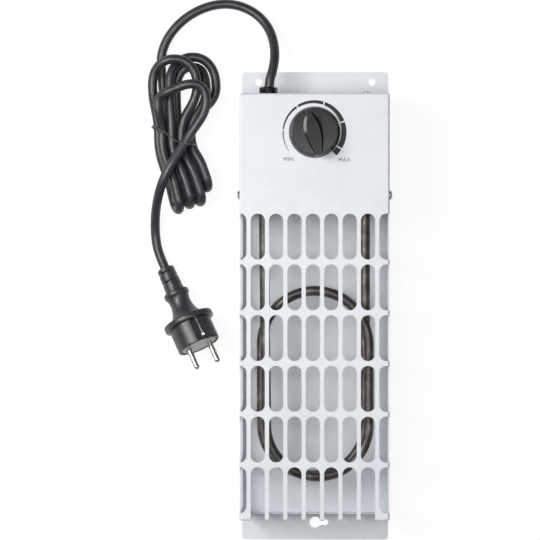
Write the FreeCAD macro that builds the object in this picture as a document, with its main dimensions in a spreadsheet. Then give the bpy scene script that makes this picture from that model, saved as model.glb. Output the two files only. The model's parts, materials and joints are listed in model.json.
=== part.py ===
import FreeCAD, Part
import math
import os
import re

import Sketcher
from FreeCAD import Placement, Rotation, Vector

# Frost-guard wall heater: a folded sheet-steel box with a bent tubular element behind a slotted
# grille, a dial thermostat, and a mains cord tied in a hank. It lies on its back plate, so the
# front faces up (+Z) and the cable gland is at the +Y end. The origin is the centre of the back
# plate's rear face. Lengths are in millimetres and angles in degrees.

SIZES = {
    # Back plate, its two upper fixing holes and the keyhole in its lower tab
    "plate_width": 123.2,
    "plate_length": 395.0,
    "plate_sheet": 1.2,
    "plate_corner": 3.0,
    "fixing_bore": 6.0,
    "fixing_spacing": 95.6,
    "fixing_inset": 8.5,
    "keyhole_bore": 9.3,
    "keyhole_slot": 4.8,
    "keyhole_run": 8.6,
    "keyhole_inset": 14.5,
    # Front cover and its grille
    "top_tab": 21.5,
    "bottom_tab": 22.5,
    "cover_depth": 82.0,
    "cover_sheet": 1.0,
    "cover_bend": 1.8,
    "control_zone": 98.8,
    "slot_width": 11.7,
    "slot_web": 3.9,
    "grille_columns": 9,
    "side_columns": 5,
    "grille_rows": 6,
    "grille_foot": 6.3,
    "column_inset": 1.28,
    "grille_shift": -1.33,
    "inlet_strip": 12.0,
    # Divider between the heating chamber and the control box
    "divider_sheet": 1.0,
    "divider_gap": 6.8,
    "divider_fit": 0.2,
    "divider_headroom": 1.5,
    "side_flange": 18.0,
    "rear_flange": 14.0,
    "rivet_spacing": 80.0,
    "rivet_shank": 4.0,
    "rivet_head": 7.0,
    "rivet_head_height": 1.2,
    "hole_clearance": 0.1,
    # Top bracket
    "bracket_sheet": 1.2,
    "bracket_width": 20.0,
    "bracket_height": 42.0,
    "bracket_foot": 15.0,
    "bracket_inset": 18.1,
    # Casing screws and the drive recess that all the screws share
    "screw_thread": 4.0,
    "screw_length": 9.0,
    "screw_head": 8.0,
    "screw_head_height": 2.8,
    "side_screw_z": 40.0,
    "top_screw_z": 30.0,
    "washer_width": 11.0,
    "washer_sheet": 0.8,
    "recess_span": 3.6,
    "recess_width": 0.9,
    "recess_depth": 1.4,
    # Heater tube
    "tube_diameter": 8.2,
    "front_leg_inset": 19.3,
    "front_foot_inset": 22.0,
    "leg_straight": 10.0,
    "front_leg_z": 54.0,
    "front_side_inset": 16.6,
    "front_side_z": 46.0,
    "rear_side_inset": 17.2,
    "rear_side_z": 38.0,
    "rear_leg_inset": 19.6,
    "rear_leg_z": 30.0,
    "loop_drop": 63.9,
    "loop_foot": 34.1,
    "leg_rise": 26.0,
    # Heater tube fittings
    "bush_head": 16.0,
    "bush_head_height": 3.0,
    "bush_barrel": 11.0,
    "bush_rise": 11.0,
    "bush_fit": 0.05,
    "bush_washer": 18.0,
    "bush_washer_sheet": 1.0,
    "bush_nut_flats": 16.0,
    "bush_nut_height": 5.0,
    "seal_height": 5.0,
    "terminal_pin": 3.0,
    "terminal_pin_length": 20.0,
    # Thermostat behind the knob
    "knob_inset": 32.0,
    "thermostat_width": 22.0,
    "thermostat_length": 34.0,
    "thermostat_depth": 18.0,
    "thermostat_screw_spacing": 28.0,
    "thermostat_bracket_width": 40.0,
    "thermostat_bracket_sheet": 1.0,
    "thermostat_screw_length": 6.0,
    "thermostat_screw_head": 7.0,
    "thermostat_screw_head_height": 2.2,
    "bimetal_width": 8.0,
    "bimetal_length": 40.0,
    "bimetal_sheet": 0.6,
    "tab_width": 6.3,
    "tab_sheet": 0.8,
    "tab_length": 8.0,
    "thermostat_tab_spacing": 15.0,
    "thermostat_tab_drop": 12.0,
    # Spindle, its bush and the knob
    "spindle_diameter": 6.0,
    "spindle_rise": 14.5,
    "spindle_depth": 14.0,
    "spindle_flat": 1.8,
    "spindle_fit": 0.05,
    "spindle_bush_diameter": 10.0,
    "spindle_bush_rise": 2.4,
    "knob_diameter": 42.0,
    "knob_top_diameter": 38.6,
    "knob_skirt_height": 8.0,
    "knob_rim_height": 1.4,
    "knob_gap": 0.8,
    "knob_wall": 1.2,
    "knob_hub": 14.0,
    "knob_cavity": 5.0,
    "knob_height": 20.0,
    "knob_grip_width": 11.8,
    "knob_grip_length": 44.0,
    "knob_rest_turn": 13.0,
    # Thermal cut-out on the divider
    "cutout_reach": 28.0,
    "cutout_z": 42.0,
    "cutout_flange_length": 34.0,
    "cutout_flange_sheet": 1.0,
    "cutout_can": 16.0,
    "cutout_can_height": 9.0,
    "cutout_base_height": 5.0,
    "cutout_tab_spacing": 9.0,
    "cutout_screw_spacing": 25.0,
    "small_thread": 3.0,
    "small_length": 6.0,
    "small_head": 5.6,
    "small_head_height": 2.0,
    # Terminal block on the back plate
    "block_x": -12.0,
    "block_rise": 31.0,
    "block_width": 24.0,
    "block_length": 20.0,
    "block_height": 16.0,
    "way_spacing": 13.0,
    "way_bore": 5.0,
    "way_height": 8.0,
    "clamp_wall": 1.0,
    # Earth stud on the back plate
    "earth_inset": 14.6,
    "earth_rise": 39.0,
    "earth_thread": 4.0,
    "earth_height": 11.0,
    "ring_width": 9.0,
    "ring_sheet": 0.8,
    "ring_tongue": 12.0,
    "earth_nut_flats": 7.0,
    "earth_nut_height": 3.2,
    # Cable gland and cord
    "gland_inset": 22.7,
    "gland_z": 30.0,
    "gland_head": 15.4,
    "gland_rise": 7.7,
    "gland_neck": 12.0,
    "gland_tail": 8.0,
    "gland_barb": 14.0,
    "gland_notch": 2.6,
    "cord_diameter": 7.9,
    "cord_fit": 0.05,
    "cord_tuck": 16.0,
    "core_diameter": 2.6,
    "core_circle": 3.8,
    "wire_clearance": 8.05,
    "tie_sheet": 1.4,
    "tie_width": 1.8,
    "tie_slack": 0.6,
    # Plug, along its axis from the mouth of its sleeve
    "plug_mouth": 14.5,
    "plug_sleeve": 16.2,
    "plug_sleeve_end": 22.0,
    "plug_collar": 21.7,
    "plug_collar_end": 27.0,
    "plug_neck": 17.5,
    "plug_neck_start": 30.0,
    "plug_neck_end": 35.0,
    "plug_flare": 30.0,
    "plug_flange": 43.0,
    "plug_flange_start": 47.7,
    "plug_flange_end": 52.7,
    "plug_face": 36.3,
    "plug_face_end": 72.5,
    "plug_pin": 4.8,
    "plug_pin_spacing": 19.0,
    "plug_pin_length": 19.0,
    "plug_pin_socket": 6.0,
    "plug_pin_fit": 0.05,
    "plug_clip_width": 7.0,
    "plug_clip_sheet": 1.2,
    "plug_clip_fit": 0.1,
    "plug_pitch": 14.0,
    "plug_roll": -21.5,
}

doc = FreeCAD.newDocument("frost_heater")
sheet = doc.addObject("Spreadsheet::Sheet", "Sizes")
for row, (alias, length) in enumerate(SIZES.items(), 1):
    sheet.set(f"A{row}", alias)
    sheet.set(f"B{row}", str(length))
    sheet.setAlias(f"B{row}", alias)
doc.recompute()

# Places that follow from the sizes, as formulas
COVER_TOP = "(plate_length/2 - top_tab)"
COVER_BOTTOM = "(bottom_tab - plate_length/2)"
PANEL_INSIDE = "(cover_depth - cover_sheet)"
GRILLE_TOP = f"({COVER_TOP} - control_zone)"
ROW_PITCH = f"(({GRILLE_TOP} - {COVER_BOTTOM} - grille_foot + slot_web)/grille_rows)"
SLOT_LENGTH = f"({ROW_PITCH} - slot_web)"
COLUMN_PITCH = "((plate_width - 2*column_inset)/(grille_columns - 1))"
LAST_ROW_TOP = f"({GRILLE_TOP} - {ROW_PITCH}*(grille_rows - 1))"
DIVIDER_Y = f"({GRILLE_TOP} + divider_gap)"
SHELF_Y = f"({DIVIDER_Y} + divider_sheet)"
SIDE_SCREW_Y = f"({DIVIDER_Y} + side_flange/2)"
DIVIDER_HALF = "(plate_width/2 - cover_sheet - divider_fit)"
RIVET_Y = f"({SHELF_Y} + rear_flange/2)"
BRACKET_Y = f"({COVER_TOP} - cover_sheet - bracket_sheet)"
KNOB_Y = f"({COVER_TOP} - knob_inset)"
BRACKET_BACK = f"({PANEL_INSIDE} - thermostat_bracket_sheet)"
BASE_BACK = f"({BRACKET_BACK} - thermostat_depth)"
TUBE_END = f"({SHELF_Y} + leg_rise)"
LEGS = (("front_leg_x", "front_leg_z"), ("rear_leg_x", "rear_leg_z"))
SIDES = ("-", "+")
PLACES = {
    "bracket_x": "plate_width/2 - bracket_inset",
    "front_leg_x": "front_leg_inset - plate_width/2",
    "front_foot_x": "front_foot_inset - plate_width/2",
    "front_side_x": "plate_width/2 - front_side_inset",
    "rear_side_x": "rear_side_inset - plate_width/2",
    "rear_leg_x": "plate_width/2 - rear_leg_inset",
    "loop_top": f"{GRILLE_TOP} - loop_drop",
    "loop_bottom": f"{COVER_BOTTOM} + loop_foot",
    "block_y": f"{SHELF_Y} + block_rise",
    "earth_x": "earth_inset - plate_width/2",
    "earth_y": f"{SHELF_Y} + earth_rise",
    "gland_x": "gland_inset - plate_width/2",
    "cutout_x": "rear_leg_x - cutout_reach",
}

# The directions that a piece made along +Z can be turned to
UPWARD = Rotation()
ALONG_Y = Rotation(Vector(1, 0, 0), -90)
ALONG_X = Rotation(Vector(0, 1, 0), 90)
AGAINST_X = Rotation(Vector(0, 1, 0), -90)

PIECES = []


def formula(text):
    """A formula with each place written out, and each size name turned into a reference to the sheet."""
    def write_out(word):
        if word[0] in PLACES:
            return f"({formula(PLACES[word[0]])})"
        return "Sizes." + word[0] if word[0] in SIZES else word[0]
    return re.sub(r"[a-z]\w*", write_out, text)


def size(text):
    """The number that a size, a place or a formula of them comes to."""
    return float(sheet.evalExpression(formula(text)))


def bind(thing, **formulas):
    for name, text in formulas.items():
        thing.setExpression(name, formula(text))
    return thing


def put(thing, base, turn=UPWARD):
    thing.Placement = Placement(Vector(), turn)
    for axis, text in zip("xyz", base):
        thing.setExpression("Placement.Base." + axis, formula(text))
    return thing


def piece(label, thing):
    """Name a finished sub-part."""
    thing.Label = label
    PIECES.append(thing)
    return thing


# Solids with bound sizes

def box(corner, lengths):
    thing = doc.addObject("Part::Box", "block")
    bind(thing, Length=lengths[0], Width=lengths[1], Height=lengths[2])
    return put(thing, corner)


def rod(base, diameter, height, turn=UPWARD):
    thing = doc.addObject("Part::Cylinder", "rod")
    bind(thing, Radius=f"({diameter})/2", Height=height)
    return put(thing, base, turn)


def cone(base, lower, upper, height, turn=UPWARD):
    thing = doc.addObject("Part::Cone", "cone")
    bind(thing, Radius1=f"({lower})/2", Radius2=f"({upper})/2", Height=height)
    return put(thing, base, turn)


def hexagon(base, flats, height, turn=UPWARD):
    thing = doc.addObject("Part::Prism", "hexagon")
    thing.Polygon = 6
    bind(thing, Circumradius=f"({flats})/sqrt(3)", Height=height)
    return put(thing, base, turn)


def fuse(*things):
    whole = doc.addObject("Part::MultiFuse", "fused")
    whole.Shapes = list(things)
    return whole


def common(*things):
    shared = doc.addObject("Part::MultiCommon", "shared")
    shared.Shapes = list(things)
    return shared


def cut(base, *tools):
    rest = doc.addObject("Part::Cut", "rest")
    rest.Base = base
    rest.Tool = tools[0] if len(tools) == 1 else fuse(*tools)
    return rest


def group(*things):
    several = doc.addObject("Part::Compound", "several")
    several.Links = list(things)
    return several


def pan_screw(seat, turn, thread, length, head, head_height):
    """A pan-head screw whose head stands on the seat, with its thread behind it."""
    flank = f"{head_height}*0.55"
    blank = fuse(rod(("0", "0", f"-{length}"), thread, f"{length} + {flank}"),
                 rod(("0", "0", "0"), head, flank),
                 cone(("0", "0", flank), head, f"{head}*0.7", f"{head_height} - {flank}"))
    floor = f"{head_height} - recess_depth"
    recess = [box((f"-{across}/2", f"-{along}/2", floor), (across, along, head_height))
              for across, along in (("recess_span", "recess_width"), ("recess_width", "recess_span"))]
    return put(cut(blank, *recess), seat, turn)


def flush_rivet(x, y, sheets):
    """A rivet through the back plate, flush with its rear face."""
    return fuse(rod((x, y, "0"), "rivet_shank", sheets),
                rod((x, y, sheets), "rivet_head", "rivet_head_height"))


# Sketches with bound sizes

def body_of(name):
    return doc.addObject("PartDesign::Body", name)


def sketch_on(body, role, lift="0"):
    sketch = body.newObject("Sketcher::SketchObject", "sketch")
    plane = next(feature for feature in body.Origin.OriginFeatures if feature.Role == role)
    sketch.AttachmentSupport = [(plane, "")]
    sketch.MapMode = "FlatFace"
    sketch.setExpression("AttachmentOffset.Base.z", formula(lift))
    return sketch


def constrain(sketch, constraint, text):
    index = sketch.addConstraint(constraint)
    sketch.setExpression(f"Constraints[{index}]", formula(text))


def pin_point(sketch, curve, point, across, up):
    constrain(sketch, Sketcher.Constraint("DistanceX", -1, 1, curve, point, 1.0), across)
    constrain(sketch, Sketcher.Constraint("DistanceY", -1, 1, curve, point, 1.0), up)


def polygon(sketch, corners):
    first = sketch.GeometryCount
    count = len(corners)
    for i in range(count):
        sketch.addGeometry(Part.LineSegment(Vector(i, i * i, 0), Vector(i + 1, (i + 1) ** 2, 0)))
    for i in range(count):
        follower = first + (i + 1) % count
        sketch.addConstraint(Sketcher.Constraint("Coincident", first + i, 2, follower, 1))
    for i, (across, up) in enumerate(corners):
        pin_point(sketch, first + i, 1, across, up)
    return sketch


def rectangle(sketch, left, right, low, high):
    return polygon(sketch, [(left, low), (right, low), (right, high), (left, high)])


def circle(sketch, across, up, diameter):
    curve = sketch.addGeometry(Part.Circle(Vector(1, 1, 0), Vector(0, 0, 1), 1))
    pin_point(sketch, curve, 3, across, up)
    constrain(sketch, Sketcher.Constraint("Radius", curve, 1.0), f"({diameter})/2")
    return sketch


def round_slot(sketch, first_end, second_end, width, heading=90):
    """A slot with full-round ends centred on two points, the second one lying that way from the first."""
    start = math.radians(heading - 90)
    along = Vector(-math.sin(start), math.cos(start), 0) * 4
    aside = Vector(math.cos(start), math.sin(start), 0)
    far_circle = Part.Circle(along, Vector(0, 0, 1), 1)
    near_circle = Part.Circle(Vector(), Vector(0, 0, 1), 1)
    far = sketch.addGeometry(Part.ArcOfCircle(far_circle, start, start + math.pi))
    left = sketch.addGeometry(Part.LineSegment(along - aside, aside * -1))
    near = sketch.addGeometry(Part.ArcOfCircle(near_circle, start + math.pi, start + 2 * math.pi))
    right = sketch.addGeometry(Part.LineSegment(aside, along + aside))
    for one, two in ((far, left), (left, near), (near, right), (right, far)):
        sketch.addConstraint(Sketcher.Constraint("Tangent", one, 2, two, 1))
    pin_point(sketch, near, 3, *first_end)
    pin_point(sketch, far, 3, *second_end)
    for end in (near, far):
        constrain(sketch, Sketcher.Constraint("Radius", end, 1.0), f"({width})/2")
    return sketch


def pad(body, sketch, length):
    feature = body.newObject("PartDesign::Pad", "pad")
    feature.Profile = sketch
    return bind(feature, Length=length)


def pocket(body, sketch, depth="", reverse=False):
    """A pocket of the given depth, or right through where no depth is given."""
    feature = body.newObject("PartDesign::Pocket", "pocket")
    feature.Profile = sketch
    feature.Reversed = reverse
    if depth:
        return bind(feature, Length=depth)
    feature.Type = "ThroughAll"
    return feature


def pattern(body, sketch, axis, pitch, count):
    feature = body.newObject("PartDesign::LinearPattern", "pattern")
    feature.Direction = (sketch, [axis])
    return bind(feature, Length=f"({pitch})*({count} - 1)", Occurrences=count)


def edge_names(shape, wanted):
    return [f"Edge{i}" for i, edge in enumerate(shape.Edges, 1) if wanted(edge)]


def is_upright(edge):
    return abs(edge.tangentAt(edge.FirstParameter).z) > 0.99


def make_back_plate():
    body = body_of("plate")
    outline = rectangle(sketch_on(body, "XY_Plane"), "-plate_width/2", "plate_width/2",
                        "-plate_length/2", "plate_length/2")
    blank = pad(body, outline, "plate_sheet")
    doc.recompute()
    corners = body.newObject("PartDesign::Fillet", "corners")
    corners.Base = (blank, edge_names(blank.Shape, is_upright))
    bind(corners, Radius="plate_corner")
    doc.recompute()
    holes = sketch_on(body, "XY_Plane")
    for side in SIDES:
        circle(holes, f"{side}fixing_spacing/2", "plate_length/2 - fixing_inset", "fixing_bore")
        circle(holes, f"{side}rivet_spacing/2", RIVET_Y, "rivet_shank + hole_clearance")
    circle(holes, "bracket_x", f"{BRACKET_Y} - bracket_foot/2", "rivet_shank + hole_clearance")
    circle(holes, "0", "keyhole_inset - plate_length/2", "keyhole_bore")
    pocket(body, holes, reverse=True)
    slot = round_slot(sketch_on(body, "XY_Plane"), ("0", "keyhole_inset - plate_length/2"),
                      ("keyhole_run", "keyhole_inset - plate_length/2"), "keyhole_slot", heading=0)
    pocket(body, slot, reverse=True)
    return piece("back_plate", body)


def make_front_cover():
    body = body_of("cover")
    outline = rectangle(sketch_on(body, "XY_Plane", "plate_sheet"), "-plate_width/2", "plate_width/2",
                        COVER_BOTTOM, COVER_TOP)
    blank = pad(body, outline, "cover_depth - plate_sheet")
    doc.recompute()
    bends = body.newObject("PartDesign::Fillet", "bends")
    front = blank.Shape.BoundBox.ZMax
    bends.Base = (blank, edge_names(blank.Shape, lambda edge: is_upright(edge)
                                    or edge.BoundBox.ZMin > front - 0.01))
    bind(bends, Radius="cover_bend")
    doc.recompute()
    rear = min(range(len(bends.Shape.Faces)), key=lambda i: bends.Shape.Faces[i].CenterOfMass.z)
    shell = body.newObject("PartDesign::Thickness", "shell")
    shell.Base = (bends, [f"Face{rear + 1}"])
    shell.Reversed = True
    bind(shell, Value="cover_sheet")
    doc.recompute()

    # One slot of the grille, repeated over the front
    through_bend = "cover_bend + cover_sheet"
    low = f"{GRILLE_TOP} - {SLOT_LENGTH} + slot_width/2"
    high = f"{GRILLE_TOP} - slot_width/2"
    first_column = f"(grille_shift - {COLUMN_PITCH}*(grille_columns - 1)/2)"
    last_column = f"(grille_shift + {COLUMN_PITCH}*(grille_columns - 1)/2)"
    slot = round_slot(sketch_on(body, "XY_Plane", "cover_depth"), (first_column, low), (first_column, high),
                      "slot_width")
    front_slot = pocket(body, slot, through_bend)
    doc.recompute()
    grille = body.newObject("PartDesign::MultiTransform", "grille")
    rows = pattern(body, slot, "V_Axis", ROW_PITCH, "grille_rows")
    rows.Reversed = True
    columns = pattern(body, slot, "H_Axis", COLUMN_PITCH, "grille_columns")
    grille.Originals = [front_slot]
    grille.Transformations = [rows, columns]
    body.Tip = grille
    doc.recompute()

    # The grille goes on round the bends and down both side walls
    side_slots = []
    for side, edge_gap, inward in (("-plate_width/2", f"plate_width/2 + {first_column}", True),
                                   ("plate_width/2", f"plate_width/2 - {last_column}", False)):
        level = f"cover_depth + {edge_gap}"
        wrap = round_slot(sketch_on(body, "YZ_Plane", side), (low, level), (high, level), "slot_width", heading=0)
        side_slots.append(pocket(body, wrap, through_bend, reverse=inward))
    doc.recompute()
    side_grille = body.newObject("PartDesign::MultiTransform", "side_grille")
    rows = pattern(body, wrap, "H_Axis", ROW_PITCH, "grille_rows")
    columns = pattern(body, wrap, "V_Axis", COLUMN_PITCH, "side_columns")
    rows.Reversed = columns.Reversed = True
    side_grille.Originals = side_slots
    side_grille.Transformations = [rows, columns]
    body.Tip = side_grille
    doc.recompute()

    # The inner columns of the last row run open round the lower bend
    second_column = f"(grille_shift - {COLUMN_PITCH}*(grille_columns - 3)/2)"
    left, right = f"{second_column} - slot_width/2", f"{second_column} + slot_width/2"
    mouth = rectangle(sketch_on(body, "XY_Plane", "cover_depth"), left, right,
                      f"{COVER_BOTTOM} - cover_sheet", f"{LAST_ROW_TOP} - slot_width/2")
    mouth_cut = pocket(body, mouth, through_bend)
    inlet = rectangle(sketch_on(body, "XZ_Plane", f"-{COVER_BOTTOM}"), left, right,
                      "plate_sheet + inlet_strip", "cover_depth")
    inlet_cut = pocket(body, inlet, through_bend)
    doc.recompute()
    inlets = pattern(body, mouth, "H_Axis", COLUMN_PITCH, "grille_columns - 2")
    inlets.Originals = [mouth_cut, inlet_cut]
    body.Tip = inlets
    doc.recompute()

    # Holes for the spindle bush, the thermostat screws, the gland and the casing screws
    holes = sketch_on(body, "XY_Plane", "cover_depth")
    circle(holes, "0", KNOB_Y, "spindle_bush_diameter + hole_clearance")
    for side in SIDES:
        circle(holes, f"{side}thermostat_screw_spacing/2", KNOB_Y, "screw_thread + hole_clearance")
    pocket(body, holes, "cover_sheet*2")
    holes = sketch_on(body, "XZ_Plane", f"-{COVER_TOP}")
    circle(holes, "gland_x", "gland_z", "gland_neck + hole_clearance")
    circle(holes, "bracket_x", "top_screw_z", "screw_thread + hole_clearance")
    pocket(body, holes, "cover_sheet*2", reverse=True)
    holes = circle(sketch_on(body, "YZ_Plane", "-plate_width"), SIDE_SCREW_Y, "side_screw_z",
                   "screw_thread + hole_clearance")
    pocket(body, holes, reverse=True)

    # The five walls are parted where the bends begin
    inner_left, inner_width = "cover_bend - plate_width/2", "plate_width - 2*cover_bend"
    length = f"{COVER_TOP} - {COVER_BOTTOM}"
    height = "cover_depth - plate_sheet"
    walls = {
        "front_cover": ((inner_left, f"{COVER_BOTTOM} + cover_bend", PANEL_INSIDE),
                        (inner_width, f"{length} - 2*cover_bend", "cover_sheet")),
        "cover_left_side": (("-plate_width/2", COVER_BOTTOM, "plate_sheet"), ("cover_bend", length, height)),
        "cover_right_side": (("plate_width/2 - cover_bend", COVER_BOTTOM, "plate_sheet"),
                             ("cover_bend", length, height)),
        "cover_top_end": ((inner_left, f"{COVER_TOP} - cover_bend", "plate_sheet"),
                          (inner_width, "cover_bend", height)),
        "cover_bottom_end": ((inner_left, COVER_BOTTOM, "plate_sheet"), (inner_width, "cover_bend", height)),
    }
    for label, (corner, lengths) in walls.items():
        piece(label, common(body, box(corner, lengths)))


def make_divider():
    inside = f"{PANEL_INSIDE} - divider_headroom - plate_sheet"
    web = box((f"-{DIVIDER_HALF}", DIVIDER_Y, "plate_sheet"), (f"2*{DIVIDER_HALF}", "divider_sheet", inside))
    foot = box((f"-{DIVIDER_HALF}", DIVIDER_Y, "plate_sheet"),
               (f"2*{DIVIDER_HALF}", "rear_flange + divider_sheet", "divider_sheet"))
    wings = [box((corner, DIVIDER_Y, "plate_sheet"), ("divider_sheet", "side_flange", inside))
             for corner in (f"-{DIVIDER_HALF}", f"{DIVIDER_HALF} - divider_sheet")]
    holes = [rod((x, DIVIDER_Y, z), "bush_barrel + hole_clearance", "divider_sheet", ALONG_Y) for x, z in LEGS]
    holes += [rod((f"{side}rivet_spacing/2", RIVET_Y, "plate_sheet"), "rivet_shank + hole_clearance",
                  "divider_sheet") for side in SIDES]
    holes += [rod((f"cutout_x {side} cutout_screw_spacing/2", DIVIDER_Y, "cutout_z"),
                  "small_thread + hole_clearance", "divider_sheet", ALONG_Y) for side in SIDES]
    holes.append(rod((f"-{DIVIDER_HALF}", SIDE_SCREW_Y, "side_screw_z"), "screw_thread + hole_clearance",
                     f"2*{DIVIDER_HALF}", ALONG_X))
    piece("divider", cut(fuse(web, foot, *wings), *holes))
    rivets = [flush_rivet(f"{side}rivet_spacing/2", RIVET_Y, "plate_sheet + divider_sheet") for side in SIDES]
    piece("divider_rivets", group(*rivets))


def make_top_bracket():
    left = "bracket_x - bracket_width/2"
    foot = box((left, f"{BRACKET_Y} + bracket_sheet - bracket_foot", "plate_sheet"),
               ("bracket_width", "bracket_foot", "bracket_sheet"))
    upright = box((left, BRACKET_Y, "plate_sheet"), ("bracket_width", "bracket_sheet", "bracket_height"))
    rivet_hole = rod(("bracket_x", f"{BRACKET_Y} - bracket_foot/2", "plate_sheet"),
                     "rivet_shank + hole_clearance", "bracket_sheet")
    screw_hole = rod(("bracket_x", BRACKET_Y, "top_screw_z"), "screw_thread + hole_clearance",
                     "bracket_sheet", ALONG_Y)
    piece("top_bracket", cut(fuse(foot, upright), rivet_hole, screw_hole))
    piece("top_bracket_rivet", flush_rivet("bracket_x", f"{BRACKET_Y} - bracket_foot/2",
                                           "plate_sheet + bracket_sheet"))


def make_casing_screws():
    kind = ("screw_thread", "screw_length", "screw_head", "screw_head_height")
    piece("side_screws", group(
        pan_screw(("plate_width/2", SIDE_SCREW_Y, "side_screw_z"), ALONG_X, *kind),
        pan_screw(("-plate_width/2", SIDE_SCREW_Y, "side_screw_z"), AGAINST_X, *kind)))
    seat = ("bracket_x", COVER_TOP, "top_screw_z")
    piece("top_washer", cut(rod(seat, "washer_width", "washer_sheet", ALONG_Y),
                            rod(seat, "screw_thread + hole_clearance", "washer_sheet", ALONG_Y)))
    piece("top_screw", pan_screw(("bracket_x", f"{COVER_TOP} + washer_sheet", "top_screw_z"), ALONG_Y, *kind))


def make_element_fittings():
    bushes, washers, nuts, seals, pins = [], [], [], [], []
    bore = "tube_diameter + 2*bush_fit"
    for x, z in LEGS:
        bush = fuse(rod((x, f"{DIVIDER_Y} - bush_head_height", z), "bush_head", "bush_head_height", ALONG_Y),
                    rod((x, f"{DIVIDER_Y} - bush_head_height", z), "bush_barrel",
                        "bush_head_height + bush_rise", ALONG_Y))
        bushes.append(cut(bush, rod((x, f"{DIVIDER_Y} - bush_head_height", z), bore,
                                    "bush_head_height + bush_rise", ALONG_Y)))
        thread = rod((x, SHELF_Y, z), "bush_barrel + hole_clearance", "bush_rise", ALONG_Y)
        washers.append(cut(rod((x, SHELF_Y, z), "bush_washer", "bush_washer_sheet", ALONG_Y), thread))
        nuts.append(cut(hexagon((x, f"{SHELF_Y} + bush_washer_sheet", z), "bush_nut_flats", "bush_nut_height",
                                ALONG_Y), thread))
        seals.append(cut(rod((x, TUBE_END, z), "tube_diameter", "seal_height", ALONG_Y),
                         rod((x, TUBE_END, z), "terminal_pin + 2*bush_fit", "seal_height", ALONG_Y)))
        pins.append(rod((x, TUBE_END, z), "terminal_pin", "terminal_pin_length", ALONG_Y))
    piece("element_bushes", group(*bushes))
    piece("element_washers", group(*washers))
    piece("element_nuts", group(*nuts))
    piece("element_seals", group(*seals))
    piece("element_terminals", group(*pins))


def make_thermostat():
    low = f"{KNOB_Y} - thermostat_length/2"
    strap = box(("-thermostat_bracket_width/2", low, BRACKET_BACK),
                ("thermostat_bracket_width", "thermostat_length", "thermostat_bracket_sheet"))
    screw_holes = [rod((f"{side}thermostat_screw_spacing/2", KNOB_Y, BRACKET_BACK),
                       "screw_thread + hole_clearance", "thermostat_bracket_sheet") for side in SIDES]
    shaft_hole = rod(("0", KNOB_Y, BRACKET_BACK), "spindle_diameter + 2*hole_clearance",
                     "thermostat_bracket_sheet")
    piece("thermostat_bracket", cut(strap, shaft_hole, *screw_holes))
    block = box(("-thermostat_width/2", low, BASE_BACK),
                ("thermostat_width", "thermostat_length", "thermostat_depth"))
    well = rod(("0", KNOB_Y, f"{BRACKET_BACK} - spindle_depth"), "spindle_diameter + 2*hole_clearance",
               "spindle_depth")
    piece("thermostat_base", cut(block, well))
    strip_corner = ("-bimetal_width/2", f"{KNOB_Y} - bimetal_length/2", f"{BASE_BACK} - bimetal_sheet")
    piece("thermostat_bimetal", box(strip_corner, ("bimetal_width", "bimetal_length", "bimetal_sheet")))
    piece("thermostat_tabs", group(*[
        box((f"{side}thermostat_tab_spacing/2 - tab_sheet/2", low, f"{BASE_BACK} - thermostat_tab_drop"),
            ("tab_sheet", "tab_width", "thermostat_tab_drop")) for side in SIDES]))
    piece("thermostat_screws", group(*[
        pan_screw((f"{side}thermostat_screw_spacing/2", KNOB_Y, "cover_depth"), UPWARD, "screw_thread",
                  "thermostat_screw_length", "thermostat_screw_head", "thermostat_screw_head_height")
        for side in SIDES]))
    sleeve = "cover_sheet + spindle_bush_rise"
    piece("spindle_bush", cut(rod(("0", KNOB_Y, PANEL_INSIDE), "spindle_bush_diameter", sleeve),
                              rod(("0", KNOB_Y, PANEL_INSIDE), "spindle_diameter + 2*spindle_fit", sleeve)))


def make_knob():
    turn = Rotation(Vector(0, 0, 1), size("knob_rest_turn"))
    axis = ("0", KNOB_Y, "cover_depth")

    # The spindle, with a flat on the stretch that the knob grips
    bottom = "-(cover_sheet + thermostat_bracket_sheet + spindle_depth)"
    flat_start = "knob_gap + knob_cavity"
    shaft = rod(("0", "0", bottom), "spindle_diameter", f"spindle_rise - {bottom}")
    flat = box(("-spindle_diameter/2", "spindle_flat", flat_start),
               ("spindle_diameter", "spindle_diameter", "spindle_rise"))
    piece("spindle", put(cut(shaft, flat), axis, turn))

    # The skirt, hollow below, with a hub in the middle
    rim_top = "knob_gap + knob_rim_height"
    skirt = fuse(rod(("0", "0", "knob_gap"), "knob_diameter", "knob_rim_height"),
                 cone(("0", "0", rim_top), "knob_diameter", "knob_top_diameter",
                      f"knob_skirt_height - ({rim_top})"))
    hollow = cut(rod(("0", "0", "0"), "knob_top_diameter - 2*knob_wall", "knob_gap + knob_cavity"),
                 rod(("0", "0", "spindle_bush_rise + knob_gap"), "knob_hub", "knob_cavity"))

    # The grip, a lens between two large arcs
    arc = "((knob_grip_width/2)^2 + (knob_grip_length/2)^2)/knob_grip_width"
    rise = "knob_height - knob_cavity - knob_gap"
    lens = [rod((f"{side}({arc} - knob_grip_width/2)", "0", "knob_gap + knob_cavity"), f"2*{arc}", rise)
            for side in SIDES]
    trim = cone(("0", "0", "knob_gap + knob_cavity"), "knob_diameter", "knob_top_diameter", rise)
    grip = common(*lens, trim)

    bore = rod(("0", "0", "0"), "spindle_diameter + 2*spindle_fit", "spindle_rise + spindle_fit")
    key = box(("-spindle_diameter", "spindle_flat + spindle_fit", f"{flat_start} + spindle_fit"),
              ("2*spindle_diameter", "spindle_diameter", "knob_height"))
    piece("knob", put(cut(fuse(skirt, grip), hollow, cut(bore, key)), axis, turn))


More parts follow.
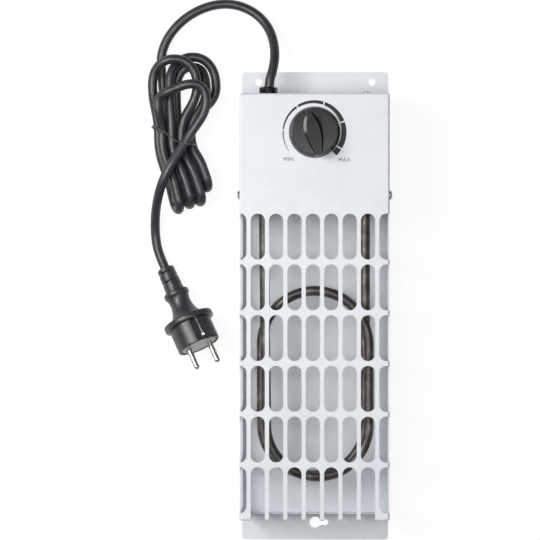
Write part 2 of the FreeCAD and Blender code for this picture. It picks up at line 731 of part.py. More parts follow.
def make_cutout():
    middle = ("cutout_x", SHELF_Y, "cutout_z")
    ear_holes = [rod((f"cutout_x {side} cutout_screw_spacing/2", SHELF_Y, "cutout_z"),
                     "small_thread + hole_clearance", "cutout_flange_sheet", ALONG_Y) for side in SIDES]
    ears = box(("cutout_x - cutout_flange_length/2", SHELF_Y, "cutout_z - cutout_can/2"),
               ("cutout_flange_length", "cutout_flange_sheet", "cutout_can"))
    can = rod(middle, "cutout_can", "cutout_can_height", ALONG_Y)
    piece("cutout_can", cut(fuse(ears, can), *ear_holes))
    base_y = f"{SHELF_Y} + cutout_can_height"
    piece("cutout_base", rod(("cutout_x", base_y, "cutout_z"), "cutout_can", "cutout_base_height", ALONG_Y))
    piece("cutout_tabs", group(*[
        box((f"cutout_x {side} cutout_tab_spacing/2 - tab_sheet/2", f"{base_y} + cutout_base_height",
             "cutout_z - tab_width/2"), ("tab_sheet", "tab_length", "tab_width")) for side in SIDES]))
    piece("cutout_screws", group(*[
        pan_screw((f"cutout_x {side} cutout_screw_spacing/2", f"{SHELF_Y} + cutout_flange_sheet", "cutout_z"),
                  ALONG_Y, "small_thread", "small_length", "small_head", "small_head_height")
        for side in SIDES]))


def make_terminal_block():
    left, low = "block_x - block_width/2", "block_y - block_length/2"
    body = box((left, low, "plate_sheet"), ("block_width", "block_length", "block_height"))
    way_z = "plate_sheet + way_height"
    ways = [f"block_x {side} way_spacing/2" for side in SIDES]
    tunnels = [rod((x, low, way_z), "way_bore + hole_clearance", "block_length", ALONG_Y) for x in ways]
    fixing = rod(("block_x", "block_y", "plate_sheet"), "small_thread + hole_clearance", "block_height")
    piece("terminal_block", cut(body, fixing, *tunnels))
    piece("terminal_clamps", group(*[
        cut(rod((x, low, way_z), "way_bore", "block_length", ALONG_Y),
            rod((x, low, way_z), "way_bore - 2*clamp_wall", "block_length", ALONG_Y)) for x in ways]))
    piece("block_screw", pan_screw(("block_x", "block_y", "plate_sheet + block_height"), UPWARD, "small_thread",
                                   "block_height", "small_head", "small_head_height"))


def make_earth_point():
    piece("earth_stud", rod(("earth_x", "earth_y", "plate_sheet"), "earth_thread", "earth_height"))
    ring = fuse(rod(("earth_x", "earth_y", "plate_sheet"), "ring_width", "ring_sheet"),
                box(("earth_x - core_diameter/2", "earth_y", "plate_sheet"),
                    ("core_diameter", "ring_tongue", "ring_sheet")))
    bore = rod(("earth_x", "earth_y", "plate_sheet"), "earth_thread + hole_clearance", "earth_height")
    piece("earth_ring", cut(ring, bore))
    piece("earth_nut", cut(hexagon(("earth_x", "earth_y", "plate_sheet + ring_sheet"), "earth_nut_flats",
                                   "earth_nut_height"), bore))


def make_cable_gland():
    head = rod(("gland_x", COVER_TOP, "gland_z"), "gland_head", "gland_rise", ALONG_Y)
    notches = [box((f"gland_x {side} gland_head/2 - gland_notch", f"{COVER_TOP} + gland_rise*0.35",
                    "gland_z - gland_head"), ("2*gland_notch", "gland_notch", "2*gland_head"))
               for side in SIDES]
    neck = rod(("gland_x", f"{COVER_TOP} - cover_sheet", "gland_z"), "gland_neck", "cover_sheet", ALONG_Y)
    barb = cone(("gland_x", f"{COVER_TOP} - cover_sheet - gland_tail", "gland_z"), "gland_neck", "gland_barb",
                "gland_tail", ALONG_Y)
    bore = rod(("gland_x", f"{COVER_TOP} - cover_sheet - gland_tail", "gland_z"), "cord_diameter + 2*cord_fit",
               "gland_rise + cover_sheet + gland_tail", ALONG_Y)
    piece("cable_gland", cut(fuse(cut(head, *notches), neck, barb), bore))


# Tubes along a route

def rounded_route(points, reach=0.45):
    """Straight runs joined by tangent arcs that take the given share of the shorter run."""
    edges, radii = [], []
    start = points[0]
    for before, corner, after in zip(points, points[1:], points[2:]):
        back, ahead = before - corner, after - corner
        setback = reach * min(back.Length, ahead.Length)
        half_turn = (math.pi - back.getAngle(ahead)) / 2
        radius = setback / math.tan(half_turn)
        enter = corner + back * (setback / back.Length)
        leave = corner + ahead * (setback / ahead.Length)
        inward = back / back.Length + ahead / ahead.Length
        middle = corner + inward / inward.Length * (math.hypot(setback, radius) - radius)
        if (enter - start).Length > 0.001:
            edges.append(Part.LineSegment(start, enter).toShape())
        edges.append(Part.Arc(enter, middle, leave).toShape())
        radii.append(radius)
        start = leave
    edges.append(Part.LineSegment(start, points[-1]).toShape())
    return edges, radii


def swept(label, edges, diameter):
    """A round solid along joined edges, checked against its section times its length."""
    route = Part.Wire(edges)
    start = edges[0].valueAt(edges[0].FirstParameter)
    ahead = edges[0].tangentAt(edges[0].FirstParameter)
    ring = Part.Wire(Part.Circle(start, ahead, diameter / 2).toShape())
    sweep = Part.BRepOffsetAPI.MakePipeShell(route)
    sweep.add(ring)
    sweep.build()
    sweep.makeSolid()
    thing = doc.addObject("Part::Feature", "tube")
    thing.Shape = sweep.shape()
    expected = math.pi * diameter ** 2 / 4 * route.Length
    print(f"{label}: length {route.Length:.0f}, volume off by {thing.Shape.Volume / expected - 1:.2%}")
    return piece(label, thing)


def make_heater_tube():
    """One and a half turns: legs and sides stand along Y, joined by half circles."""
    end = size(TUBE_END)
    strands = [("front_leg", end), ("front_side", None), ("rear_side", None), ("rear_leg", end)]
    low, high = size("loop_bottom"), size("loop_top")
    points = []
    for i, (strand, free_end) in enumerate(strands):
        x, z = size(strand + "_x"), size(strand + "_z")
        upper = Vector(x, high if free_end is None else free_end, z)
        lower = Vector(x, low, z)
        points += [upper, lower] if i % 2 == 0 else [lower, upper]
    # The front leg leans inwards from below its bush
    knee = Vector(points[0].x, size(f"{DIVIDER_Y} - leg_straight"), points[0].z)
    points[1:2] = [knee, Vector(size("front_foot_x"), low, knee.z)]
    edges, radii = rounded_route(points, reach=0.5)
    swept("heater_tube", edges, size("tube_diameter"))


def make_inner_wires():
    """The cord's cores and the wires between the terminals inside the control box."""
    cover_top = size("plate_length") / 2 - size("top_tab")
    shelf = cover_top - size("control_zone") + size("divider_gap") + size("divider_sheet")
    sheath_end = cover_top - size("cord_tuck")
    pin_end = shelf + size("leg_rise") + size("terminal_pin_length")
    tab_end = shelf + size("cutout_can_height") + size("cutout_base_height") + size("tab_length")
    way_z = size("plate_sheet") + size("way_height")
    way_top = size("block_y") + size("block_length") / 2
    way_bottom = size("block_y") - size("block_length") / 2
    left_way = size("block_x") - size("way_spacing") / 2
    right_way = size("block_x") + size("way_spacing") / 2
    knob_y = cover_top - size("knob_inset")
    tab_y = knob_y - size("thermostat_length") / 2 + size("tab_width") / 2
    tab_z = size("cover_depth") - size("cover_sheet") - size("thermostat_bracket_sheet") \
        - size("thermostat_depth") - size("thermostat_tab_drop")
    tab_x = size("thermostat_tab_spacing") / 2
    first_tab_x = size("cutout_x") - size("cutout_tab_spacing") / 2
    second_tab_x = size("cutout_x") + size("cutout_tab_spacing") / 2
    cutout_z = size("cutout_z")
    straight = 4 * size("core_diameter")

    def core_start(angle):
        around = math.radians(angle)
        offset = size("core_circle") / 2
        return Vector(size("gland_x") + offset * math.cos(around), sheath_end,
                      size("gland_z") + offset * math.sin(around))

    def step(point, x=0, y=0, z=0):
        return point + Vector(x, y, z)

    live, neutral, earth = core_start(60), core_start(300), core_start(180)
    live_way = Vector(right_way, way_top, way_z)
    neutral_way = Vector(left_way, way_top, way_z)
    ring = Vector(size("earth_x"), size("earth_y") + size("ring_tongue"),
                  size("plate_sheet") + size("core_diameter") / 2)
    live_out = Vector(right_way, way_bottom, way_z)
    neutral_out = Vector(left_way, way_bottom, way_z)
    live_tab = Vector(-tab_x, tab_y, tab_z)
    switched_tab = Vector(tab_x, tab_y, tab_z)
    cutout_in = Vector(first_tab_x, tab_end, cutout_z)
    cutout_out = Vector(second_tab_x, tab_end, cutout_z)
    front_pin = Vector(size("front_leg_x"), pin_end, size("front_leg_z"))
    rear_pin = Vector(size("rear_leg_x"), pin_end, size("rear_leg_z"))
    turn_room = 1.5 * straight
    routes = {
        "live_core": [live, step(live, y=-straight), step(live_way, y=straight), live_way],
        "neutral_core": [neutral, step(neutral, y=-straight), step(neutral_way, y=straight), neutral_way],
        "earth_core": [earth, step(earth, y=-straight / 2), step(ring, y=straight / 2), ring],
        "live_wire": [live_out, step(live_out, y=-straight), step(live_out, y=-straight, z=2 * turn_room),
                      step(live_tab, z=-turn_room), live_tab],
        "switched_wire": [switched_tab, step(switched_tab, z=-straight),
                          step(cutout_in, y=straight), cutout_in],
        "element_wire": [cutout_out, Vector(second_tab_x, tab_y + size("wire_clearance"), cutout_z),
                         step(front_pin, y=turn_room), front_pin],
        "return_wire": [rear_pin, step(rear_pin, y=turn_room), step(rear_pin, x=-turn_room, y=turn_room / 2,
                        z=way_z - rear_pin.z), step(neutral_out, x=2 * turn_room, y=-turn_room),
                        step(neutral_out, y=-turn_room), neutral_out],
    }
    for label, points in routes.items():
        swept(label, rounded_route(points)[0], size("core_diameter"))


# The free cord. It leaves the gland, falls to the floor in a wide arc and passes below the hank's
# upper loops. Its points are measured from the middle of its hole in the top face, and their
# heights from the floor.

FLOOR = size("cord_diameter") / 2 + 0.1
CORD_HOME = Vector(size("gland_x"), size(COVER_TOP), 0)

LEAD_ROUTE = [
    (0.0, 13.6, 30.0), (3.7, 24.0, 27.4), (6.3, 37.2, 21.7), (4.2, 50.2, 15.2),
    (-2.0, 61.5, 9.9), (-11.1, 70.9, 6.4), (-23.4, 77.3, 4.6), (-37.3, 79.5, FLOOR),
    (-51.6, 77.1, FLOOR), (-65.9, 70.6, FLOOR), (-77.8, 61.0, FLOOR), (-86.7, 49.0, FLOOR),
    (-91.4, 35.5, FLOOR), (-91.0, 23.0, FLOOR), (-90.0, 12.0, FLOOR),
]

# The hank's tail crosses its front, drops to the floor on the left and rises into the plug.
TAIL_ROUTE = [
    (-75.9, -47.7, 26.6), (-82.0, -57.6, 28.0), (-87.6, -68.4, 27.6), (-91.4, -78.5, 23.4),
    (-93.9, -88.0, 17.4), (-95.5, -97.5, 11.8), (-96.1, -107.3, 7.6), (-95.9, -117.2, 5.4),
    (-94.3, -127.3, 5.8),
]
PLUG_MOUTH = (-87.3, -144.7, 9.7)
PLUG_HEADING = Vector(0.415, -0.91, 0)
PLUG_RUN = 9.0


def on_route(point):
    """A point of the cord's tables, in the part's frame."""
    return CORD_HOME + Vector(*point)


def plug_axis():
    """The direction that the plug points, tipped up on its flange."""
    pitch = math.radians(size("plug_pitch"))
    return PLUG_HEADING / PLUG_HEADING.Length * math.cos(pitch) + Vector(0, 0, math.sin(pitch))


# The hank: where its strands pass the waist, in two layers of columns, left to right, the lower
# layer between the columns of the upper one
WAIST_X, WAIST_Y = -77.6, -33.0
WAIST_STEP = 8.1
WAIST_LEAN = -3.5
WAIST_LOW, WAIST_HIGH = 6.0, 14.5
WAIST_COLUMNS = 4
FOLD_TILT = math.radians(18.0)

# One row for each loop, in the order that the cord runs: its column at the waist; the tip and the
# radius of its lower fold, which stands on edge and leans to the right; then its upper arch, as the
# side where it starts (-1 left, 1 right), its middle, half width, top and shoulder in plan, and the
# heights of its first shoulder, top and second shoulder.
HANK_LOOPS = [
    (1, (-66.6, -90.4), 8.2, -1, -64.2, 19.4, 34.1, 12.0, (12.6, 6.0, 4.1)),
    (3, (-52.0, -76.3), 8.2, 1, -65.6, 12.8, 25.7, 8.0, (12.2, 4.4, 4.2)),
    (2, (-57.5, -88.2), 8.8, 1, -79.1, 18.9, 31.8, 12.0, (18.6, 19.2, 12.6)),
    (0, (-76.1, -94.7), 8.0, -1, -72.6, 20.4, 10.5, -6.0, (21.0, 29.0, 27.4)),
]


def biarc(start, ahead, end, onward):
    """Two tangent arcs from one point and direction to another."""
    chord = end - start
    swing = 2 * (ahead.dot(onward) - 1)
    slope = -2 * chord.dot(ahead + onward)
    if abs(swing) < 1e-9:
        reach = -chord.dot(chord) / slope
    else:
        reach = (-slope - math.sqrt(slope ** 2 - 4 * swing * chord.dot(chord))) / (2 * swing)
    joint = (start + ahead * reach + end - onward * reach) / 2
    return [arc_from(start, ahead, joint), arc_from(end, onward * -1, joint, reverse=True)]


def arc_from(start, ahead, end, reverse=False):
    """The arc that leaves a point in a direction and passes through another, or the straight line."""
    chord = end - start
    aside = chord - ahead * chord.dot(ahead)
    if aside.Length < 1e-6:
        return Part.LineSegment(end, start).toShape() if reverse else Part.LineSegment(start, end).toShape()
    aside = aside / aside.Length
    radius = chord.dot(chord) / (2 * chord.dot(aside))
    centre = start + aside * radius
    outward = (start + end) / 2 - centre
    sweep_past_half = chord.dot(ahead) < 0
    middle = centre + outward / outward.Length * (-radius if sweep_past_half else radius)
    arc = Part.Arc(end, middle, start) if reverse else Part.Arc(start, middle, end)
    return arc.toShape()


def hank_stations():
    """Points and directions along the hank: for each loop its waist, fold, waist and arch."""
    north, south, up = Vector(0, 1, 0), Vector(0, -1, 0), Vector(0, 0, 1)
    lead_end = on_route(LEAD_ROUTE[-1])
    heading = lead_end - on_route(LEAD_ROUTE[-2])
    heading = heading / heading.Length
    stations = [(lead_end, heading), (lead_end + heading * size("cord_diameter"), heading)]
    for column, tip, radius, first_side, middle, half_width, top, shoulder, heights in HANK_LOOPS:
        x = WAIST_X + (column - (WAIST_COLUMNS - 1) / 2) * WAIST_STEP
        down = on_route((x + WAIST_LEAN, WAIST_Y, WAIST_LOW))
        fold_tip = on_route((*tip, FLOOR + radius * math.cos(FOLD_TILT)))
        along = fold_tip - on_route((x + WAIST_LEAN / 2, WAIST_Y, fold_tip.z))
        along = along / along.Length
        rise = up * math.cos(FOLD_TILT) + up.cross(along) * math.sin(FOLD_TILT)
        stations += [(down, south),
                     (fold_tip - along * radius - rise * radius, along),
                     (fold_tip, rise),
                     (fold_tip - along * radius + rise * radius, along * -1),
                     (on_route((x, WAIST_Y, WAIST_HIGH)), north)]
        across = half_width * first_side
        stations += [(on_route((middle + across, shoulder, heights[0])), north),
                     (on_route((middle, top, heights[1])), Vector(-first_side, 0, 0)),
                     (on_route((middle - across, shoulder, heights[2])), south)]
    tail_start = on_route(TAIL_ROUTE[0])
    heading = on_route(TAIL_ROUTE[1]) - tail_start
    heading = heading / heading.Length
    return stations + [(tail_start - heading * size("cord_diameter"), heading), (tail_start, heading)]


def least_gap(edges, diameter):
    """The least gap between stretches of one tube that lie further apart along it than a bend."""
    spacing = 2.0
    points = [point for edge in edges for point in edge.discretize(Distance=spacing)[:-1]]
    apart = int(3 * diameter / spacing)
    return min((one - other).Length for i, one in enumerate(points) for other in points[i + apart:]) - diameter


def make_cord():
    diameter = size("cord_diameter")
    inner_end = (0, -size("cord_tuck"), size("gland_z"))
    edges, radii = rounded_route([on_route(point) for point in [inner_end, *LEAD_ROUTE]])
    print("lead radii", " ".join(f"{radius:.0f}" for radius in radii))
    swept("cord_lead", edges, diameter)

    stations = hank_stations()
    edges = []
    for (start, ahead), (end, onward) in zip(stations, stations[1:]):
        edges += biarc(start, ahead, end, onward)
    swept("cord_hank", edges, diameter)
    radii = [edge.Curve.Radius for edge in edges if hasattr(edge.Curve, "Radius")]
    print(f"hank: least radius {min(radii):.1f}, least gap {least_gap(edges, diameter):.2f}")

    mouth = on_route(PLUG_MOUTH)
    tail = [on_route(point) for point in TAIL_ROUTE]
    edges, radii = rounded_route([*tail, mouth - plug_axis() * PLUG_RUN, mouth])
    print("tail radii", " ".join(f"{radius:.0f}" for radius in radii))
    swept("cord_tail", edges, diameter)


def make_cord_tie():
    """A flat wire tie round the waist, aslant across the strands."""
    slant = -23.0
    outer_column = (WAIST_COLUMNS - 1) * WAIST_STEP / 2 + abs(WAIST_LEAN) / 2
    half = f"({outer_column} + cord_diameter/2 + tie_width)/{math.cos(math.radians(slant)):.4f}"
    low = f"({WAIST_LOW} - cord_diameter/2 - tie_slack)"
    high = f"({WAIST_HIGH} + cord_diameter/2 + tie_slack)"
    outer = box((f"-{half} - tie_sheet", "-tie_width/2", f"{low} - tie_sheet"),
                (f"2*{half} + 2*tie_sheet", "tie_width", f"{high} - {low} + 2*tie_sheet"))
    inner = box((f"-{half}", "-tie_width/2", low), (f"2*{half}", "tie_width", f"{high} - {low}"))
    waist = (f"gland_x + {WAIST_X + WAIST_LEAN / 2}", f"{COVER_TOP} + {WAIST_Y}", "0")
    band = put(cut(outer, inner), waist, Rotation(Vector(0, 0, 1), slant))
    piece("cord_tie", band)


def make_plug():
    """The moulded plug, its two round pins and the earth clips in its sides."""
    axis = plug_axis()
    level = Vector(0, 0, 1).cross(axis)
    turn = Rotation(level, Vector(), axis, "ZXY").multiply(Rotation(Vector(0, 0, 1), size("plug_roll")))
    where = Placement(on_route(PLUG_MOUTH), turn)

    body = body_of("plug")
    profile = polygon(sketch_on(body, "XZ_Plane"), [
        ("0", "0"), ("plug_mouth/2", "0"), ("plug_sleeve/2", "plug_sleeve_end"),
        ("plug_collar/2", "plug_sleeve_end"), ("plug_collar/2", "plug_collar_end"),
        ("plug_neck/2", "plug_neck_start"), ("plug_neck/2", "plug_neck_end"),
        ("plug_flare/2", "plug_flange_start"), ("plug_flange/2", "plug_flange_start"),
        ("plug_flange/2", "plug_flange_end"), ("plug_face/2", "plug_flange_end"),
        ("plug_face/2", "plug_face_end"), ("0", "plug_face_end")])
    turned = body.newObject("PartDesign::Revolution", "turned")
    turned.Profile = profile
    turned.ReferenceAxis = (profile, ["V_Axis"])
    turned.Angle = 360

    socket = "plug_face_end - plug_pin_socket"
    sockets = [rod((f"{side}plug_pin_spacing/2", "0", socket), "plug_pin + 2*plug_pin_fit", "plug_pin_socket")
               for side in SIDES]
    clip_length = "plug_face_end - plug_flange_end"
    grooves = [box(("-plug_clip_width/2 - plug_clip_fit", low, "plug_flange_end"),
                   ("plug_clip_width + 2*plug_clip_fit", "plug_clip_sheet", clip_length))
               for low in ("plug_face/2 - plug_clip_sheet", "-plug_face/2")]
    moulding = cut(body, *sockets, *grooves)
    pins = []
    for side in SIDES:
        shank = rod((f"{side}plug_pin_spacing/2", "0", socket), "plug_pin",
                    "plug_pin_socket + plug_pin_length - plug_pin/2")
        nose = doc.addObject("Part::Sphere", "nose")
        bind(nose, Radius="plug_pin/2")
        put(nose, (f"{side}plug_pin_spacing/2", "0", "plug_face_end + plug_pin_length - plug_pin/2"))
        pins.append(fuse(shank, nose))
    clips = [common(box(("-plug_clip_width/2", low, "plug_flange_end"),
                        ("plug_clip_width", "plug_clip_sheet", clip_length)),
                    rod(("0", "0", "plug_flange_end"), "plug_face", clip_length))
             for low in ("plug_face/2 - plug_clip_sheet", "-plug_face/2")]
    for label, thing in (("plug_body", moulding), ("plug_pins", group(*pins)),
                         ("plug_earth_clips", group(*clips))):
        thing.Placement = where
        piece(label, thing)


make_back_plate()
make_front_cover()
make_divider()
make_top_bracket()
make_casing_screws()
make_heater_tube()
make_element_fittings()
make_thermostat()
make_knob()
make_cutout()
make_terminal_block()
make_earth_point()
make_cable_gland()
make_inner_wires()
make_cord()
make_cord_tie()
make_plug()
doc.recompute()

faulty = [thing.Label for thing in doc.Objects if {"Invalid", "Error"} & set(thing.State)]
faulty += [thing.Label for thing in PIECES if thing.Shape.isNull() or not thing.Shape.isValid()]
if faulty:
    raise RuntimeError("faulty: " + ", ".join(faulty))
os.makedirs("parts", exist_ok=True)
for thing in PIECES:
    thing.Shape.exportStep(f"parts/{thing.Label}.step")
    print(f"{thing.Label}: {len(thing.Shape.Solids)} solids, volume {thing.Shape.Volume:.0f}")
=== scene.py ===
import json
import math

import bmesh
import bpy
from mathutils import Matrix, Vector


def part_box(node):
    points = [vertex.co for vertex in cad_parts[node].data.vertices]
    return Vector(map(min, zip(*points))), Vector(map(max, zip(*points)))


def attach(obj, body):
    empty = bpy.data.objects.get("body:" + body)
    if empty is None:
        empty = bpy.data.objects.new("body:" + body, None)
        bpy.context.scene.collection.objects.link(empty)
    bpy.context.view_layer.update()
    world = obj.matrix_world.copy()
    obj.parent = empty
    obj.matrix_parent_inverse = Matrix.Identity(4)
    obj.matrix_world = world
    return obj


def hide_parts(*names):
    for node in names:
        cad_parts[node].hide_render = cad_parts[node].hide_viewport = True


# Frost-guard wall heater, lying on its back plate with its front up. Lengths are in metres.
# The tables of points are in millimetres, as they are in the part's source.

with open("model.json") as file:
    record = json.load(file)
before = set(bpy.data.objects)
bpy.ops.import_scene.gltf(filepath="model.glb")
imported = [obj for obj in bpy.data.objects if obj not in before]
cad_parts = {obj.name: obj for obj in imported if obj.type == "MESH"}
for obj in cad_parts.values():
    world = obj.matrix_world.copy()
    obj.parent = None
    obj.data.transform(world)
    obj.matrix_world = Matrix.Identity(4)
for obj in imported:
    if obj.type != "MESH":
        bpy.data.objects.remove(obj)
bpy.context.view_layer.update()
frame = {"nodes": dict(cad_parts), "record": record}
nodes = frame["nodes"]
scene = bpy.context.scene
MM = 0.001


def mm(*values):
    """A point or a length in millimetres, in metres."""
    return Vector(values) * MM if len(values) > 1 else values[0] * MM


def show(name, data):
    """A new object with the given data, in the scene."""
    made = bpy.data.objects.new(name, data)
    scene.collection.objects.link(made)
    return made


def final_mesh(holder):
    """The mesh that an object comes to, with its modifiers or its curve's settings."""
    return bpy.data.meshes.new_from_object(holder.evaluated_get(bpy.context.evaluated_depsgraph_get()))


# Camera: almost straight above the panel, with a long lens

PICTURE_SIZE = 540
PIXELS_PER_METRE = 1182.0
CAMERA_PLACE = Vector((0.0168, 0.0490, 2.7270))
CAMERA_AIM = Vector((-0.03816, 0.03037, 0.0))


def make_camera():
    camera = show("camera", bpy.data.cameras.new("camera"))
    away = CAMERA_AIM - CAMERA_PLACE
    camera.data.sensor_width = 36.0
    camera.data.lens = camera.data.sensor_width * PIXELS_PER_METRE * away.length / PICTURE_SIZE
    camera.data.clip_end = 20.0
    back = -away.normalized()
    right = Vector((0, 1, 0)).cross(back).normalized()
    turned = Matrix((right, back.cross(right), back)).transposed()
    camera.matrix_world = Matrix.Translation(CAMERA_PLACE) @ turned.to_4x4()
    scene.camera = camera


# Nodes and colours

def add(tree, kind, inputs=None, **settings):
    """Adds a node. Settings are its properties; an input is a value, or a socket to link from."""
    node = tree.nodes.new(kind)
    for name, value in settings.items():
        setattr(node, name, value)
    for name, value in (inputs or {}).items():
        if isinstance(value, bpy.types.NodeSocket):
            tree.links.new(value, node.inputs[name])
        else:
            node.inputs[name].default_value = value
    return node


def linear(colour):
    """A display colour such as "#E8ECF2" as the linear values that shaders take."""
    parts = [int(colour[i:i + 2], 16) / 255 for i in (1, 3, 5)]
    return [c / 12.92 if c <= 0.04045 else ((c + 0.055) / 1.055) ** 2.4 for c in parts] + [1.0]


def start_material(name, **surface):
    """A material with its shader, and the Object coordinates that its patterns read."""
    material = bpy.data.materials.new(name)
    material.use_nodes = True
    tree = material.node_tree
    tree.nodes.clear()
    shader = add(tree, "ShaderNodeBsdfPrincipled", {key.replace("_", " "): v for key, v in surface.items()})
    add(tree, "ShaderNodeOutputMaterial", {"Surface": shader.outputs[0]})
    place = add(tree, "ShaderNodeTexCoord").outputs["Object"]
    return material, tree, shader, place


def ramp(tree, factor, stops):
    """A colour ramp through display colours at the given places."""
    node = add(tree, "ShaderNodeValToRGB", {"Fac": factor})
    elements = node.color_ramp.elements
    while len(elements) < len(stops):
        elements.new(0.5)
    for element, (place, colour) in zip(elements, stops):
        element.position = place
        element.color = linear(colour)
    return node.outputs["Color"]


def noise(tree, place, size, detail=2.0, **inputs):
    """Noise whose patches are about the given size."""
    inputs = {"Vector": place, "Scale": 1 / size, "Detail": detail, **inputs}
    return add(tree, "ShaderNodeTexNoise", inputs).outputs[0]


def spread(tree, factor, low, high):
    """Maps noise, which stays near its middle, to a span of values."""
    return add(tree, "ShaderNodeMapRange", {"Value": factor, "From Min": 0.3, "From Max": 0.7,
                                            "To Min": low, "To Max": high}).outputs[0]


def vary_roughness(tree, shader, pattern, low, high):
    """Lets the roughness follow a pattern of noise between two values."""
    tree.links.new(spread(tree, pattern, low, high), shader.inputs["Roughness"])


def bump(tree, shader, height, depth, strength):
    """Raises the surface by a pattern of the given depth."""
    node = add(tree, "ShaderNodeBump", {"Height": height, "Distance": depth, "Strength": strength})
    tree.links.new(node.outputs[0], shader.inputs["Normal"])


# Floor and light

FLOOR_HALF, FLOOR_DROP = 6.0, -0.0003
# The white that the camera sees is a glow, with a share of shaded paper that keeps the object's shadow
BACKDROP_GLOW, SHADOW_SHARE = 1.08, 0.16
# The room is brighter on the left than on the right
ROOM_LEFT, ROOM_RIGHT = 0.3, 0.03
# Place, aim, width, length and power of each lamp
LAMPS = [
    ("left_strip", (-0.27, 0.1, 2.0), (-0.02, 0.0, 0.0), 0.2, 1.4, 6.2),
    ("right_strip", (0.26, 0.1, 2.0), (0.0, 0.0, 0.0), 0.2, 1.4, 5.6),
    ("left_softbox", (-0.75, 0.25, 1.1), (-0.02, 0.0, 0.05), 0.6, 0.7, 10.3),
]
LAMP_COLOUR = (1.0, 0.99, 0.98)


def make_floor():
    """A white floor. Rays that light the object meet grey paper there, so that little comes back up."""
    corners = [(-1, -1), (1, -1), (1, 1), (-1, 1)]
    mesh = bpy.data.meshes.new("floor")
    mesh.from_pydata([(x * FLOOR_HALF, y * FLOOR_HALF, FLOOR_DROP) for x, y in corners], [], [(0, 1, 2, 3)])
    show("floor", mesh)

    material = bpy.data.materials.new("seamless_paper")
    material.use_nodes = True
    tree = material.node_tree
    tree.nodes.clear()
    rays = add(tree, "ShaderNodeLightPath")
    seen = add(tree, "ShaderNodeMath", {0: rays.outputs["Is Camera Ray"], 1: rays.outputs["Is Glossy Ray"]},
               operation="ADD")
    seen = add(tree, "ShaderNodeMath", {0: seen.outputs[0], 1: rays.outputs["Is Transmission Ray"]},
               operation="ADD", use_clamp=True)
    paper = add(tree, "ShaderNodeBsdfDiffuse", {"Color": linear("#77787A")})
    shaded = add(tree, "ShaderNodeBsdfDiffuse", {"Color": linear("#F4F5F6")})
    white = add(tree, "ShaderNodeEmission", {"Color": linear("#FFFFFF"), "Strength": BACKDROP_GLOW})
    backdrop = add(tree, "ShaderNodeMixShader",
                   {0: SHADOW_SHARE, 1: white.outputs[0], 2: shaded.outputs[0]})
    surface = add(tree, "ShaderNodeMixShader",
                  {0: seen.outputs[0], 1: paper.outputs[0], 2: backdrop.outputs[0]})
    add(tree, "ShaderNodeOutputMaterial", {"Surface": surface.outputs[0]})
    mesh.materials.append(material)


def make_world():
    """A plain room round the object, and the backdrop's white where the camera looks past the floor."""
    world = bpy.data.worlds.new("studio")
    scene.world = world
    world.use_nodes = True
    tree = world.node_tree
    tree.nodes.clear()
    rays = add(tree, "ShaderNodeLightPath")
    side = add(tree, "ShaderNodeSeparateXYZ", {0: add(tree, "ShaderNodeTexCoord").outputs["Generated"]})
    level = add(tree, "ShaderNodeMapRange", {"Value": side.outputs["X"], "From Min": -1.0, "From Max": 1.0,
                                             "To Min": ROOM_LEFT, "To Max": ROOM_RIGHT})
    room = add(tree, "ShaderNodeBackground", {"Color": linear("#F1F4F8"), "Strength": level.outputs[0]})
    behind = add(tree, "ShaderNodeBackground", {"Color": linear("#F4F5F6"), "Strength": 1.0})
    view = add(tree, "ShaderNodeMixShader",
               {0: rays.outputs["Is Camera Ray"], 1: room.outputs[0], 2: behind.outputs[0]})
    add(tree, "ShaderNodeOutputWorld", {"Surface": view.outputs[0]})


def make_lamps():
    """Two long softboxes above the object, either side of the camera, and one at the upper left."""
    for name, place, aim, wide, long, watts in LAMPS:
        lamp = bpy.data.lights.new(name, "AREA")
        lamp.shape = "RECTANGLE"
        lamp.size, lamp.size_y = wide, long
        lamp.energy = watts
        lamp.color = LAMP_COLOUR
        light = show(name, lamp)
        light.location = place
        light.rotation_euler = (Vector(aim) - Vector(place)).to_track_quat("-Z", "Y").to_euler()
    scene.view_settings.view_transform = "Standard"


# The free cord, one smooth line from the gland to the plug. Places are from the middle of the
# cord's hole in the top face, and heights are from the floor.

CORD_DIAMETER = 7.9
FLOOR = CORD_DIAMETER / 2 + 0.1  # height of the middle of a strand that lies on the floor
# How far the cord goes in behind the top face and into the plug, and its straight run before the plug
CORD_TUCK, CORD_IN_PLUG, CORD_STRAIGHT = 16.0, 4.0, 9.0

LEAD_ROUTE = [
    (0.0, 11.0, 30.0), (3.9, 22.0, 28.0), (5.7, 36.0, 22.4), (3.4, 50.2, 15.2), (-2.0, 61.5, 9.9),
    (-11.1, 70.9, 6.4), (-23.4, 77.3, 4.6), (-37.3, 79.5, FLOOR), (-51.6, 77.1, FLOOR),
    (-65.9, 70.6, FLOOR), (-77.8, 61.0, FLOOR), (-86.7, 49.0, FLOOR), (-91.4, 35.5, FLOOR),
    (-91.0, 23.0, FLOOR), (-90.0, 12.0, FLOOR),
]
TAIL_ROUTE = [
    (-75.9, -47.7, 26.6), (-82.0, -57.6, 28.0), (-87.6, -68.4, 27.6), (-91.4, -78.5, 23.4),
    (-93.9, -88.0, 17.4), (-95.5, -97.5, 11.8), (-96.1, -107.3, 7.6), (-95.9, -117.2, 5.4),
    (-94.3, -127.3, 5.8),
]
PLUG_MOUTH = (-87.3, -144.7, 9.7)
PLUG_HEADING = Vector((0.415, -0.91, 0.0)).normalized()
PLUG_PITCH = math.radians(14.0)
PLUG_ROLL = math.radians(-21.5)
PLUG_AXIS = PLUG_HEADING * math.cos(PLUG_PITCH) + Vector((0, 0, math.sin(PLUG_PITCH)))

